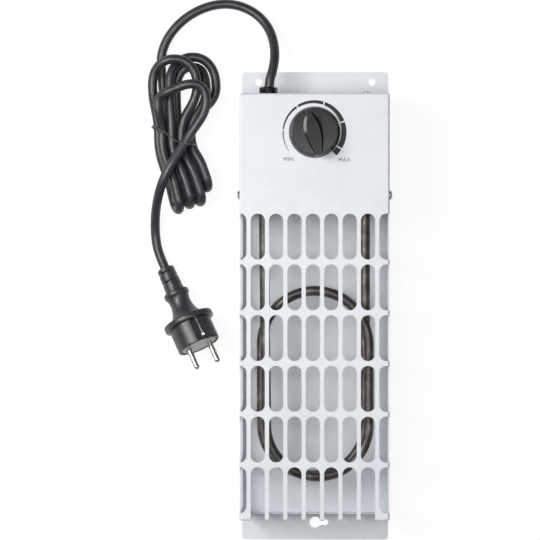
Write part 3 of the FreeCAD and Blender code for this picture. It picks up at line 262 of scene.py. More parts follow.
# The hank's waist, where a lower layer of strands lies between the columns of the upper one, and one
# row for each loop: its column at the waist; the tip and the radius of its lower fold, which stands
# on edge and leans to the right; then the points of its upper arch and its directions there in plan.
WAIST_X, WAIST_Y = -77.6, -33.0
WAIST_STEP, WAIST_COLUMNS, WAIST_LEAN = 8.1, 4, -3.5
WAIST_LOW, WAIST_HIGH = 6.0, 14.5
FOLD_TILT = math.radians(18.0)
FOLD_LEG = 1.8  # where a fold's straight legs begin, in radii behind its tip
HANK_LOOPS = [
    (1, (-66.6, -90.4), 8.2, [((-83.6, 12.0, 12.6), (0, 1)), ((-64.2, 34.1, 6.0), (1, 0)),
                              ((-44.8, 12.0, 4.1), (0, -1))]),
    (3, (-52.0, -76.3), 8.2, [((-52.8, 8.0, 12.2), (0, 1)), ((-65.6, 25.7, 4.4), (-1, 0)),
                              ((-78.4, 8.0, 4.2), (0, -1))]),
    (2, (-57.5, -88.2), 8.8, [((-60.2, 12.0, 18.6), (0, 1)), ((-79.1, 31.8, 19.2), (-1, 0)),
                              ((-98.0, 12.0, 12.6), (0, -1))]),
    (0, (-76.1, -94.7), 8.0, [((-93.0, -6.0, 21.0), (0, 1)), ((-80.0, 6.0, 26.6), (0.92, 0.39)),
                              ((-63.0, 10.4, 29.0), (1, 0)), ((-52.2, -1.0, 28.0), (0, -1))]),
]
gland_low, gland_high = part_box("cable_gland")
CORD_HOME = Vector(((gland_low.x + gland_high.x) / 2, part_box("cover_top_end")[1].y, 0.0))


def on_route(point):
    """A point of the cord's tables, in the part's frame."""
    return CORD_HOME + Vector(point) * MM


def hank_stations():
    """Points and directions along the hank: for each loop its waist, fold, waist and arch."""
    north, south, up = Vector((0, 1, 0)), Vector((0, -1, 0)), Vector((0, 0, 1))
    heading = (Vector(LEAD_ROUTE[-1]) - Vector(LEAD_ROUTE[-2])).normalized()
    stations = [(Vector(LEAD_ROUTE[-1]) + heading * CORD_DIAMETER, heading)]
    for column, tip, radius, arch in HANK_LOOPS:
        x = WAIST_X + (column - (WAIST_COLUMNS - 1) / 2) * WAIST_STEP
        fold_tip = Vector((*tip, FLOOR + radius * math.cos(FOLD_TILT)))
        along = (fold_tip - Vector((x + WAIST_LEAN / 2, WAIST_Y, fold_tip.z))).normalized()
        rise = up * math.cos(FOLD_TILT) + up.cross(along) * math.sin(FOLD_TILT)
        stations += [
            (Vector((x + WAIST_LEAN, WAIST_Y, WAIST_LOW)), south),
            (fold_tip - along * radius * FOLD_LEG - rise * radius, along),
            *((fold_tip + (along * (math.sin(turn) - 1) - rise * math.cos(turn)) * radius,
               along * math.cos(turn) + rise * math.sin(turn))
              for turn in (math.radians(45 * eighth) for eighth in range(5))),
            (fold_tip - along * radius * FOLD_LEG + rise * radius, -along),
            (Vector((x, WAIST_Y, WAIST_HIGH)), north),
            *((Vector(point), Vector((*plan, 0)).normalized()) for point, plan in arch)]
    heading = (Vector(TAIL_ROUTE[1]) - Vector(TAIL_ROUTE[0])).normalized()
    return stations + [(Vector(TAIL_ROUTE[0]) - heading * CORD_DIAMETER, heading)]


def hank_turns():
    """The control points of the hank's turns: two on the tangents between each pair of stations."""
    stations, turns = hank_stations(), []
    for (start, ahead), (end, onward) in zip(stations, stations[1:]):
        chord = end - start
        swing = 2 * (ahead.dot(onward) - 1)
        slope = -2 * chord.dot(ahead + onward)
        if abs(swing) < 1e-9:
            reach = -chord.length_squared / slope
        else:
            reach = (-slope - math.sqrt(slope ** 2 - 4 * swing * chord.length_squared)) / (2 * swing)
        turns += [start + ahead * reach, end - onward * reach]
    return turns


def nurbs_line(name, points, thickness, steps, ring, closed=False):
    """A round wire along one NURBS line with the given control points."""
    curve = bpy.data.curves.new(name, "CURVE")
    curve.dimensions = "3D"
    line = curve.splines.new("NURBS")
    line.points.add(len(points) - 1)
    for control, point in zip(line.points, points):
        control.co = (*point, 1.0)
        control.radius = thickness / 2
    line.order_u = 3
    line.use_cyclic_u = closed
    line.use_endpoint_u = not closed
    line.resolution_u = steps
    curve.bevel_depth = 1.0
    curve.bevel_resolution = ring
    curve.use_fill_caps = not closed
    return show(name, curve)


def make_cord():
    gland_height = (gland_low.z + gland_high.z) / 2 / MM
    mouth = Vector(PLUG_MOUTH)
    route = [Vector((0.0, -CORD_TUCK, gland_height)), *LEAD_ROUTE, *hank_turns(), *TAIL_ROUTE,
             mouth - PLUG_AXIS * CORD_STRAIGHT, mouth + PLUG_AXIS * CORD_IN_PLUG]
    cord = nurbs_line("mains_cord", [on_route(point) for point in route], mm(CORD_DIAMETER), steps=8, ring=6)
    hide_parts("cord_lead", "cord_hank", "cord_tail")
    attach(cord, "casing")
    cord.data.materials.append(finishes["cord_rubber"])
    return cord


# Finishes

def powder_coat():
    """Polyester powder coat, baked: semi-gloss white with a fine orange peel and a trace of cloudiness."""
    material, tree, shader, place = start_material("powder_coat_white", IOR=1.5)
    cloud = noise(tree, place, mm(38), 3.0)
    colour = ramp(tree, cloud, [(0.32, "#E8ECF2"), (0.5, "#EBEFF4"), (0.68, "#EEF1F6")])
    tree.links.new(colour, shader.inputs["Base Color"])
    vary_roughness(tree, shader, noise(tree, place, mm(9)), 0.31, 0.42)
    # Orange peel waves are about 1 mm long: drawn at 1.6 mm so that they show
    bump(tree, shader, noise(tree, place, mm(1.6), 1.0), mm(0.05), 0.35)
    return material


def zinc_plate():
    """Steel, zinc plated and passivated: a bluish bright metal with faint straw patches."""
    material, tree, shader, place = start_material("zinc_plated_steel", Metallic=1.0)
    patch = noise(tree, place, mm(5), 3.0)
    colour = ramp(tree, patch, [(0.35, "#9AA1A9"), (0.5, "#A9ACAE"), (0.66, "#B3AE9E")])
    tree.links.new(colour, shader.inputs["Base Color"])
    vary_roughness(tree, shader, noise(tree, place, mm(1.2)), 0.08, 0.18)
    return material


def heater_sheath():
    """Nickel alloy sheath, oxidised by heat: dark brown grey, satin, with lighter worn patches."""
    material, tree, shader, place = start_material("oxidised_alloy_sheath", Metallic=0.75)
    patch = noise(tree, place, mm(11), 4.0)
    colour = ramp(tree, patch, [(0.3, "#4A4644"), (0.47, "#5B5653"), (0.6, "#6E6865"), (0.75, "#8A837E")])
    tree.links.new(colour, shader.inputs["Base Color"])
    vary_roughness(tree, shader, noise(tree, place, mm(2.5), 3.0), 0.32, 0.52)
    bump(tree, shader, noise(tree, place, mm(1.1)), mm(0.06), 0.4)
    return material


def turned_metal(name, colours, roughness):
    """Turned or stamped small metal parts: bright, with a little tarnish in patches."""
    material, tree, shader, place = start_material(name, Metallic=1.0)
    patch = noise(tree, place, mm(3), 3.0)
    tree.links.new(ramp(tree, patch, list(zip((0.36, 0.5, 0.66), colours))), shader.inputs["Base Color"])
    vary_roughness(tree, shader, noise(tree, place, mm(0.8)), roughness * 0.7, roughness * 1.35)
    return material


def moulding(name, colours, roughness, grain, depth, shine=0.5):
    """A moulded plastic or rubber: close to one colour, with the mould's fine grain on its surface.
    The grain's size and depth are in millimetres."""
    material, tree, shader, place = start_material(name, IOR=1.5, Specular_IOR_Level=shine)
    patch = noise(tree, place, mm(14), 3.0)
    tree.links.new(ramp(tree, patch, list(zip((0.35, 0.65), colours))), shader.inputs["Base Color"])
    fine = noise(tree, place, mm(grain))
    vary_roughness(tree, shader, fine, roughness * 0.88, roughness * 1.12)
    bump(tree, shader, fine, mm(depth), 0.5)
    return material


def cord_sheath():
    """Rubber mains cord: matt charcoal with talc left in its grain and a low, broad sheen."""
    material, tree, shader, place = start_material("rubber_cord_sheath", IOR=1.5, Specular_IOR_Level=0.8)
    talc = noise(tree, place, mm(6), 5.0, Roughness=0.65)
    colour = ramp(tree, talc, [(0.3, "#242328"), (0.52, "#2B2A30"), (0.72, "#37363D")])
    tree.links.new(colour, shader.inputs["Base Color"])
    vary_roughness(tree, shader, noise(tree, place, mm(2.2)), 0.35, 0.47)
    # The sheath's grain is about 0.3 mm: drawn at 0.9 mm so that it shows
    bump(tree, shader, noise(tree, place, mm(0.9)), mm(0.06), 0.35)
    return material


def earth_insulation():
    """Green PVC core with a yellow stripe, as earth wires have."""
    material, tree, shader, place = start_material("green_yellow_pvc", Roughness=0.4, IOR=1.5)
    stripe = add(tree, "ShaderNodeTexWave", {"Vector": place, "Scale": 1 / mm(14), "Distortion": 1.5},
                 bands_direction="DIAGONAL")
    colour = ramp(tree, stripe.outputs["Fac"], [(0.62, "#2F7A3C"), (0.7, "#D9C433")])
    tree.links.new(colour, shader.inputs["Base Color"])
    return material


def make_finishes():
    """Every finish by the record's slot name, and those of the dial's ink and the plug's rubber."""
    return {
        "white_powder_coat": powder_coat(),
        "zinc_steel": zinc_plate(),
        "element_sheath": heater_sheath(),
        "brass": turned_metal("turned_brass", ("#B08A3E", "#C5A055", "#D0B06B"), 0.3),
        "nickel": turned_metal("nickel_plated_brass", ("#BDB8AC", "#CCC9C1", "#D8D5CE"), 0.2),
        "cutout_aluminium": turned_metal("drawn_aluminium", ("#B4B6B8", "#C6C8CA", "#D2D3D4"), 0.36),
        "silicone_seal": moulding("silicone_rubber", ("#B9B2A8", "#C7C0B6"), 0.5, 0.9, 0.04),
        "phenolic": moulding("phenolic_resin", ("#2B211C", "#3A2D26"), 0.38, 0.8, 0.04),
        "white_nylon": moulding("natural_nylon", ("#DAD8CF", "#E4E2DA"), 0.42, 0.8, 0.03),
        "black_plastic": moulding("satin_black_abs", ("#121114", "#161518"), 0.16, 0.7, 0.003),
        "brown_insulation": moulding("brown_pvc", ("#5A3A28", "#66432F"), 0.4, 0.8, 0.03),
        "blue_insulation": moulding("blue_pvc", ("#2C4F8E", "#355A9C"), 0.4, 0.8, 0.03),
        "earth_insulation": earth_insulation(),
        "cord_rubber": cord_sheath(),
        "tie_wire": moulding("plastic_coated_wire", ("#565555", "#646362"), 0.2, 0.6, 0.004),
        "plug_rubber": moulding("moulded_plug_rubber", ("#2A292E", "#323136"), 0.38, 0.8, 0.05, 0.85),
        "dial_ink": moulding("screen_ink", ("#161518", "#1B1A1E"), 0.55, 0.5, 0.01),
    }


def dress(finishes):
    """Gives each CAD node that shows the finish of its slot in the record."""
    for entry in frame["record"]["subparts"]:
        mesh = nodes[entry["node"]].data
        mesh.materials.clear()
        mesh.materials.append(finishes[entry["material_slot"]])


# Mesh work

WELD = 1e-4  # mm


def lathe(bm, profile, around=96, shape=None):
    """Rings of a turned shape about +Z. The profile is (radius, height) pairs, and a radius of 0 is
    a pole. A shape function may change the radius by height and angle."""
    rings = []
    for radius, height in profile:
        if radius == 0:
            rings.append([bm.verts.new((0, 0, height))])
            continue
        ring = []
        for i in range(around):
            angle = 2 * math.pi * i / around
            r = shape(radius, height, angle) if shape else radius
            ring.append(bm.verts.new((r * math.cos(angle), r * math.sin(angle), height)))
        rings.append(ring)
    for low, high in zip(rings, rings[1:]):
        for i in range(around):
            j = (i + 1) % around
            if len(low) == 1:
                bm.faces.new((low[0], high[j], high[i]))
            elif len(high) == 1:
                bm.faces.new((low[i], low[j], high[0]))
            else:
                bm.faces.new((low[i], low[j], high[j], high[i]))


def loft(bm, outlines):
    """Closed outlines of as many points each, joined in order and capped at both ends."""
    rings = [[bm.verts.new(point) for point in outline] for outline in outlines]
    for low, high in zip(rings, rings[1:]):
        for i in range(len(low)):
            j = (i + 1) % len(low)
            bm.faces.new((low[i], low[j], high[j], high[i]))
    bm.faces.new(list(reversed(rings[0])))
    bm.faces.new(rings[-1])


def make_piece(name, bm, slot, body, place, sharp=34.0, finish=None):
    """A mesh in millimetres as a piece at its place on its body. Edges sharper than an angle stay crisp.
    The finish is the slot's, unless another is named."""
    bmesh.ops.remove_doubles(bm, verts=bm.verts, dist=WELD)
    bmesh.ops.recalc_face_normals(bm, faces=bm.faces)
    bm.transform(place @ Matrix.Scale(MM, 4))
    for face in bm.faces:
        face.smooth = True
    for edge in bm.edges:
        edge.smooth = edge.calc_face_angle(math.pi) < math.radians(sharp)
    mesh = bpy.data.meshes.new(name)
    bm.to_mesh(mesh)
    bm.free()
    mesh.materials.append(finishes[finish or slot])
    piece = show(name, mesh)
    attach(piece, body)
    return piece


def mesh_of(holder, finish):
    """A curve's or a text's final mesh with its finish, in place of the object that drew it."""
    mesh = final_mesh(holder)
    bpy.data.objects.remove(holder)
    mesh.materials.clear()
    mesh.materials.append(finishes[finish])
    return mesh


def geometry_tree(name, inputs):
    """A geometry tree with named inputs. Returns the tree, its inputs, a function that adds a math node
    to it and one that ends it."""
    tree = bpy.data.node_groups.new(name, "GeometryNodeTree")
    for label in inputs:
        tree.interface.new_socket(name=label, in_out="INPUT", socket_type="NodeSocketFloat")
    tree.interface.new_socket(name="Finish", in_out="INPUT", socket_type="NodeSocketMaterial")
    tree.interface.new_socket(name="Geometry", in_out="OUTPUT", socket_type="NodeSocketGeometry")
    given = add(tree, "NodeGroupInput").outputs

    def calc(operation, *values):
        return add(tree, "ShaderNodeMath", dict(enumerate(values)), operation=operation).outputs[0]

    def end(geometry):
        real = add(tree, "GeometryNodeRealizeInstances", {"Geometry": geometry})
        painted = add(tree, "GeometryNodeSetMaterial",
                      {"Geometry": real.outputs[0], "Material": given["Finish"]})
        add(tree, "NodeGroupOutput", {"Geometry": painted.outputs[0]})
    return tree, given, calc, end


def grow(name, tree, sizes, slot, body, place):
    """What a geometry tree makes from sizes in millimetres, as a plain mesh piece at its place on its body."""
    holder = show(name, bpy.data.meshes.new(name))
    modifier = holder.modifiers.new(name, "NODES")
    modifier.node_group = tree
    for socket in tree.interface.items_tree:
        if socket.in_out == "INPUT":
            modifier[socket.identifier] = finishes[slot] if socket.name == "Finish" else sizes[socket.name]
    made = final_mesh(holder)
    holder.modifiers.remove(modifier)
    made.transform(place @ Matrix.Scale(MM, 4))
    holder.data = made
    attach(holder, body)
    return holder


# Knob

KNOB_PLACE = (0.0, 144.0)
KNOB_REST_TURN = math.radians(13.0)
PANEL_Z = 82.0
# (radius, height above the panel) of the skirt
KNOB_SKIRT = [
    (3.2, 2.2), (15.0, 2.2), (19.4, 2.2), (19.6, 0.8), (20.7, 0.8), (21.0, 1.0), (21.05, 1.4), (20.95, 1.8),
    (18.95, 7.5), (18.75, 7.85), (18.4, 8.0), (12.0, 8.0), (6.0, 8.0), (0, 8.0)]
# The grip from its rounded end to its pointer: the place along it, half the width of its top, and the
# run of the bevel beside the top
GRIP_STATIONS = [
    (-20.0, 0.7, 0.5), (-19.7, 1.5, 0.6), (-18.8, 2.15, 0.8), (-17.0, 2.75, 1.0), (-14.0, 3.7, 1.15),
    (-11.0, 4.4, 1.3), (-6.5, 5.2, 1.6), (-2.0, 5.5, 1.9), (2.0, 5.4, 2.3), (6.0, 4.75, 2.6),
    (9.0, 3.8, 2.7), (12.0, 2.75, 2.4), (14.2, 1.9, 1.9), (15.4, 1.6, 1.5), (17.6, 0.95, 0.8),
    (19.9, 0.3, 0.3)]
# The grip from its foot to its top: the height, the share of the bevel's run there and what is added to it
GRIP_LEVELS = [(7.6, 1.0, 0.4), (18.7, 1.0, 0.08), (19.1, 0.93, 0.0), (19.9, 0.12, 0.0), (20.0, 0.0, 0.0)]
GRIP_SHIFT = -0.6
# The pointer slopes down from its start, above the grip's foot
POINTER_START, POINTER_FALL = 15.4, 0.3


def grip_outline(height, share, extra):
    """The grip's leaf outline at one of its levels."""
    fall = POINTER_FALL if height > GRIP_LEVELS[0][0] else 0.0
    stations = [(along, half + run * share + extra, height - max(0.0, along - POINTER_START) * fall)
                for along, half, run in GRIP_STATIONS]
    right = [(GRIP_SHIFT + half, along, z) for along, half, z in stations]
    left = [(GRIP_SHIFT - half, along, z) for along, half, z in reversed(stations)]
    return right + left


def make_knob():
    bm = bmesh.new()
    lathe(bm, KNOB_SKIRT, around=128)
    loft(bm, [grip_outline(*level) for level in GRIP_LEVELS])
    place = Matrix.Translation(mm(*KNOB_PLACE, PANEL_Z)) @ Matrix.Rotation(KNOB_REST_TURN, 4, "Z")
    knob = make_piece("control_knob", bm, "black_plastic", "dial", place, sharp=16.0)
    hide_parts("knob")


# Strain relief of the cord, along its own +Z out of the top face

GLAND_PROFILE = [
    (4.0, -9.0), (6.0, -9.0), (7.0, -1.0), (6.0, -1.0), (6.0, 0.0), (7.45, 0.0), (7.7, 0.3), (7.7, 1.9),
    (7.7, 2.0), (7.7, 6.3), (7.45, 6.9), (6.6, 7.5), (6.1, 7.7), (4.6, 7.7), (4.0, 7.1), (4.0, -9.0)]
# Its head above the flange is split into jaws, which end in flats at the sides
JAW_FOOT, JAW_INNER, GLAND_FLAT = 1.95, 6.0, 6.9
RIGHT_SPLIT, LEFT_SPLIT, SPLIT_HALF, SPLIT_DEPTH = 1.9, -3.1, 0.5, 1.7
# The latch that holds the jaws shut: a small open eye across the left split, of flattened wire
EYE_HEIGHT, EYE_WIDE, EYE_TALL, EYE_START = 4.2, 1.5, 1.7, 20.0
EYE_STEP, EYE_STEPS, EYE_WIRE, EYE_FLATNESS, EYE_SIDES = 15.0, 19, 0.5, 1.4, 10


def gland_shape(radius, height, angle):
    """How the head departs from a turned shape."""
    across = radius * math.cos(angle)
    if height < JAW_FOOT or radius < JAW_INNER:
        return radius
    if any(abs(across - split) < SPLIT_HALF for split in (RIGHT_SPLIT, LEFT_SPLIT)):
        return radius - SPLIT_DEPTH
    return min(radius, GLAND_FLAT / max(abs(math.sin(angle)), 0.1))


def make_gland():
    bm = bmesh.new()
    lathe(bm, GLAND_PROFILE, around=240, shape=gland_shape)
    eye = [(LEFT_SPLIT + EYE_WIDE * math.cos(turn), EYE_HEIGHT + EYE_TALL * math.sin(turn))
           for turn in (math.radians(EYE_START + EYE_STEP * step) for step in range(EYE_STEPS))]
    sideways = Vector((0, EYE_FLATNESS, 0))
    outlines = []
    for (x, z), (x_next, z_next) in zip(eye, eye[1:]):
        ahead = Vector((x_next - x, 0, z_next - z)).normalized()
        outward = ahead.cross(Vector((0, 1, 0)))
        outlines.append([Vector((x, -GLAND_FLAT, z))
                         + EYE_WIRE * (outward * math.cos(turn) - sideways * math.sin(turn))
                         for turn in (2 * math.pi * k / EYE_SIDES for k in range(EYE_SIDES))])
    loft(bm, outlines)
    middle = (gland_low + gland_high) / 2
    place = Matrix.Translation((middle.x, CORD_HOME.y, middle.z)) @ Matrix.Rotation(math.radians(-90), 4, "X")
    gland = make_piece("strain_relief", bm, "black_plastic", "casing", place, sharp=30.0)
    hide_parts("cable_gland")


# Dial print

# Lengths in millimetres and angles in degrees. The lift keeps the print clear of the panel
SCALE = {"Outer": 26.2, "Thin": 0.35, "Thick": 4.9, "Start": 216.0, "Sweep": -263.0,
         "First Gap": 176.0, "Gap Pitch": 52.0, "Gap Width": 1.15, "Lift": 0.04}
SCALE_GRID = {"Size X": 1.0, "Size Y": 1.0, "Vertices X": 1052, "Vertices Y": 3}
# Each word, with its place from the middle of the knob
DIAL_WORDS = [("MIN", -21.4, -22.3), ("MAX", 24.5, -22.7)]
# Capitals are 3.2 mm high, and the font's size is about 1.4 times their height
TEXT_SIZE, TEXT_SPACING = 3.2 * 1.4, 1.06


def scale_tree():
    """A band that thickens round an arc, cut by even gaps: a grid bent to the arc."""
    tree, given, calc, end = geometry_tree("dial_scale_band", SCALE)
    grid = add(tree, "GeometryNodeMeshGrid", SCALE_GRID)
    spot = add(tree, "ShaderNodeSeparateXYZ", {0: add(tree, "GeometryNodeInputPosition").outputs[0]})
    along = calc("ADD", spot.outputs["X"], 0.5)
    across = calc("ADD", spot.outputs["Y"], 0.5)
    angle = calc("MULTIPLY_ADD", along, given["Sweep"], given["Start"])
    from_gap = calc("WRAP", calc("SUBTRACT", angle, given["First Gap"]),
                    calc("MULTIPLY", given["Gap Pitch"], 0.5), calc("MULTIPLY", given["Gap Pitch"], -0.5))
    turn = calc("RADIANS", angle)
    growth = calc("SUBTRACT", given["Thick"], given["Thin"])
    thickness = calc("MULTIPLY_ADD", along, growth, given["Thin"])
    radius = calc("SUBTRACT", given["Outer"], calc("MULTIPLY", across, thickness))
    gap_reach = calc("MULTIPLY", calc("RADIANS", calc("ABSOLUTE", from_gap)), radius)
    in_gap = calc("LESS_THAN", gap_reach, calc("MULTIPLY", given["Gap Width"], 0.5))
    arc = add(tree, "ShaderNodeCombineXYZ", {"X": calc("MULTIPLY", radius, calc("COSINE", turn)),
                                             "Y": calc("MULTIPLY", radius, calc("SINE", turn)),
                                             "Z": given["Lift"]})
    cut = add(tree, "GeometryNodeDeleteGeometry", {"Geometry": grid.outputs[0], "Selection": in_gap},
              domain="FACE")
    bent = add(tree, "GeometryNodeSetPosition", {"Geometry": cut.outputs[0], "Position": arc.outputs[0]})
    end(bent.outputs[0])
    return tree


def make_dial_print():
    grow("dial_scale", scale_tree(), SCALE, "dial_ink", "casing",
         Matrix.Translation(mm(*KNOB_PLACE, PANEL_Z)))
    for word, across, along in DIAL_WORDS:
        curve = bpy.data.curves.new(word.lower(), "FONT")
        curve.body = word
        curve.align_x, curve.align_y = "CENTER", "CENTER"
        curve.size = TEXT_SIZE
        curve.space_character = TEXT_SPACING
        mesh = mesh_of(show("lettering", curve), "dial_ink")
        place = mm(KNOB_PLACE[0] + across, KNOB_PLACE[1] + along, PANEL_Z + SCALE["Lift"])
        mesh.transform(Matrix.Translation(place) @ Matrix.Scale(MM, 4))
        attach(show(f"dial_word_{word.lower()}", mesh), "casing")


# Plug, along its own +Z from the mouth of its sleeve

# (radius, height) of the moulding from the end of its sleeve on
PLUG_PROFILE = [
    (8.15, 22.0), (9.9, 22.05), (10.6, 22.3), (10.85, 22.9), (10.85, 25.2), (10.65, 25.9), (10.1, 26.5),
    (9.6, 27.4), (9.2, 29.0), (8.9, 31.0), (8.85, 33.0), (9.1, 35.5), (9.7, 38.2), (10.7, 41.0),
    (12.1, 43.8), (13.7, 46.2), (15.0, 47.6), (20.6, 47.7), (21.2, 47.95), (21.5, 48.5), (21.5, 51.9),
    (21.2, 52.45), (20.6, 52.7), (18.15, 52.75), (18.15, 54.0), (18.15, 56.0), (18.15, 60.0), (18.15, 64.0),
    (18.15, 68.0), (18.15, 70.5), (18.15, 72.0), (18.0, 72.5), (17.6, 72.8), (17.1, 72.9), (16.6, 72.85),
    (16.3, 72.6), (16.2, 71.6), (15.8, 71.4), (9.0, 71.4), (4.0, 71.4), (0, 71.4)]
# The pin carrier, set in the face
CARRIER_PROFILE = [
    (0, 70.0), (15.3, 70.0), (15.3, 72.1), (15.0, 72.4), (14.0, 72.45), (7.0, 72.45), (0, 72.45)]
# The sleeve: its mouth, its radius there, how it widens, and the slits that let it flex
SLEEVE_MOUTH = [(3.55, 3.0), (3.6, 0.4), (4.0, 0.0), (6.7, 0.0), (7.25, 0.5)]
SLEEVE_RADIUS, SLEEVE_TAPER, SLEEVE_END = 7.25, 0.041, (8.1, 21.6)
SLIT_COUNT, FIRST_SLIT, SLIT_STEP, SLIT_WIDTH, SLIT_DEPTH, SLIT_EDGE = 4, 3.2, 4.3, 1.8, 2.8, 0.05
# The slits lie on alternate sides, each this far round to either side of its middle
SLIT_MIDDLES, SLIT_REACH = (math.radians(172.0), math.radians(-8.0)), math.radians(84.0)
# The flat recess at each earth clip, between two heights of the shell, which lies beyond a radius
SHELL_RADIUS = 17.5
CLIP_RECESS_LOW, CLIP_RECESS_HIGH, CLIP_RECESS_HALF, CLIP_RECESS_FLOOR = 53.0, 71.8, 4.3, 15.9
# Each clip is a ribbed strip of spring brass, bowed outwards, with a rounded pad at its free end:
# height, half the width and distance out
CLIP_STATIONS = [
    (53.0, 0.9, 16.0), (55.0, 0.85, 16.4), (58.0, 0.8, 17.0), (61.0, 0.75, 17.4), (64.0, 0.75, 17.6),
    (66.6, 0.85, 17.5), (67.4, 1.2, 17.5), (68.2, 1.55, 17.4), (69.4, 1.6, 17.2), (70.2, 1.3, 16.9),
    (70.8, 0.6, 16.6)]
# How thick the strip is at its edges, how far the clip stands aside, how much its rib leans, and the
# share of its width that its outer face keeps
CLIP_SHEET, CLIP_ASIDE, CLIP_LEAN, CLIP_FACE = 0.42, 1.2, 0.55, 0.8
plug_right = Vector((0, 0, 1)).cross(PLUG_AXIS).normalized()
PLUG_TURN = Matrix((plug_right, PLUG_AXIS.cross(plug_right), PLUG_AXIS)).transposed().to_4x4()
PLUG_PLACE = Matrix.Translation(on_route(PLUG_MOUTH)) @ PLUG_TURN @ Matrix.Rotation(PLUG_ROLL, 4, "Z")


def slit_span(number):
    """Where a slit of the sleeve begins and ends."""
    low = FIRST_SLIT + SLIT_STEP * number
    return low, low + SLIT_WIDTH


def sleeve_profile():
    """The sleeve's flexing part, with a ring just before and just after each edge of a slit."""
    profile = list(SLEEVE_MOUTH)
    for number in range(SLIT_COUNT):
        low, high = slit_span(number)
        outer = SLEEVE_RADIUS + low * SLEEVE_TAPER
        profile += [(outer, edge + aside) for edge in (low, high) for aside in (-SLIT_EDGE, SLIT_EDGE)]
    return profile + [SLEEVE_END]


def plug_shape(radius, height, angle):
    """How the moulding departs from a turned shape: slits in the sleeve and a recess at each clip."""
    for number in range(SLIT_COUNT):
        low, high = slit_span(number)
        away = math.remainder(angle - SLIT_MIDDLES[number % 2], 2 * math.pi)
        if low < height < high and abs(away) < SLIT_REACH:
            return radius - SLIT_DEPTH
    beside_clip = CLIP_RECESS_LOW < height < CLIP_RECESS_HIGH and radius > SHELL_RADIUS
    if beside_clip and abs(radius * math.cos(angle)) < CLIP_RECESS_HALF:
        return CLIP_RECESS_FLOOR / abs(math.sin(angle))
    return radius


def clip_outline(side, height, half, out):
    """A clip's section at a height: its inner face is flat, and its outer face leans to its rib."""
    middle = side * CLIP_ASIDE
    right_out = out + CLIP_SHEET + half * CLIP_LEAN * (1 + side) / 2
    left_out = out + CLIP_SHEET + half * CLIP_LEAN * (1 - side) / 2
    return [(middle - half, side * out, height), (middle + half, side * out, height),
            (middle + half * CLIP_FACE, side * right_out, height),
            (middle - half * CLIP_FACE, side * left_out, height)]


def make_plug():
    bm = bmesh.new()
    lathe(bm, sleeve_profile() + PLUG_PROFILE, around=160, shape=plug_shape)
    plug = make_piece("plug_moulding", bm, "cord_rubber", "casing", PLUG_PLACE, sharp=38.0, finish="plug_rubber")
    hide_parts("plug_body")

    bm = bmesh.new()
    for side in (1, -1):
        loft(bm, [clip_outline(side, *station) for station in CLIP_STATIONS])
    clips = make_piece("plug_earth_springs", bm, "nickel", "casing", PLUG_PLACE)
    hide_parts("plug_earth_clips")

    bm = bmesh.new()
    lathe(bm, CARRIER_PROFILE)
    carrier = make_piece("plug_pin_carrier", bm, "white_nylon", "casing", PLUG_PLACE)
    return plug, clips, carrier


# Wire tie round the hank's waist, slanted across its strands

TIE_SLANT = math.radians(-23.0)
TIE_WIRE = 1.1
# (along the slant, aside, height) round the bundle: under it, up the right, over the tail and back
TIE_LOOP = [
    (-16.5, 0.0, 1.0), (0.0, 0.0, 1.0), (16.0, 0.0, 1.0), (19.0, 0.0, 5.5), (19.2, 0.0, 14.0),
    (19.2, -0.3, 24.0), (18.0, -0.4, 31.5), (12.0, -2.2, 32.0), (7.6, -3.2, 29.0), (4.6, -3.4, 21.0),
    (0.6, -2.8, 19.5), (-4.5, -1.2, 19.4), (-9.0, 0.4, 19.4), (-14.0, 0.4, 19.4), (-18.5, 0.0, 17.0),
    (-19.4, 0.0, 10.0), (-19.2, 0.0, 4.0)]
# The twisted end: where it begins, its sizes, and how finely it is drawn
TWIST_PLACE = (-20.2, 0.0, 20.6)
TWIST = {"Length": 8.6, "Turns": 2.6, "Spacing": 0.95, "Wire": 0.5}
TWIST_STEPS, TWIST_SIDES = 72, 10


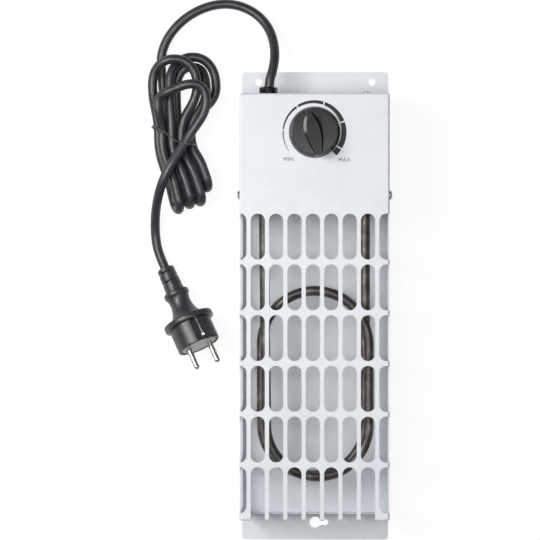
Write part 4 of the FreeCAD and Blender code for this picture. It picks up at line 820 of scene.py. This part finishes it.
def twist_tree():
    """The tie's twisted end: two wires wound round each other along a line, in millimetres."""
    tree, given, calc, end = geometry_tree("twisted_wire_end", TWIST)
    tip = add(tree, "ShaderNodeCombineXYZ", {"X": given["Length"]})
    line = add(tree, "GeometryNodeCurvePrimitiveLine", {"End": tip.outputs[0]})
    fine = add(tree, "GeometryNodeResampleCurve", {"Curve": line.outputs[0], "Count": TWIST_STEPS})
    share = add(tree, "GeometryNodeSplineParameter").outputs["Factor"]
    ring = add(tree, "GeometryNodeCurvePrimitiveCircle", {"Resolution": TWIST_SIDES, "Radius": given["Wire"]})
    both = add(tree, "GeometryNodeJoinGeometry")
    for start in (0.0, math.pi):
        turn = calc("MULTIPLY_ADD", share, calc("MULTIPLY", given["Turns"], 2 * math.pi), start)
        offset = add(tree, "ShaderNodeCombineXYZ", {
            "Y": calc("MULTIPLY", calc("COSINE", turn), given["Spacing"]),
            "Z": calc("MULTIPLY", calc("SINE", turn), given["Spacing"])})
        strand = add(tree, "GeometryNodeSetPosition",
                     {"Geometry": fine.outputs[0], "Offset": offset.outputs[0]})
        tube = add(tree, "GeometryNodeCurveToMesh",
                   {"Curve": strand.outputs[0], "Profile Curve": ring.outputs[0], "Fill Caps": True})
        tree.links.new(tube.outputs[0], both.inputs[0])
    smooth = add(tree, "GeometryNodeSetShadeSmooth", {"Geometry": both.outputs[0]})
    end(smooth.outputs[0])
    return tree


def make_tie():
    middle = on_route((WAIST_X + WAIST_LEAN / 2, WAIST_Y, 0.0))
    waist = Matrix.Translation(middle) @ Matrix.Rotation(TIE_SLANT, 4, "Z")
    line = nurbs_line("tie_line", [waist @ mm(*place) for place in TIE_LOOP], mm(TIE_WIRE),
                      steps=6, ring=3, closed=True)
    mesh = mesh_of(line, "tie_wire")
    mesh.shade_smooth()
    tie = show("wire_tie", mesh)
    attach(tie, "casing")
    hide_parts("cord_tie")

    twist = grow("wire_tie_twist", twist_tree(), TWIST, "tie_wire", "casing",
                 waist @ Matrix.Translation(mm(*TWIST_PLACE)))
    return tie, twist


make_camera()
make_floor()
make_world()
make_lamps()
finishes = make_finishes()
dress(finishes)
cord = make_cord()
make_knob()
make_gland()
make_dial_print()
plug, clips, carrier = make_plug()
tie, twist = make_tie()
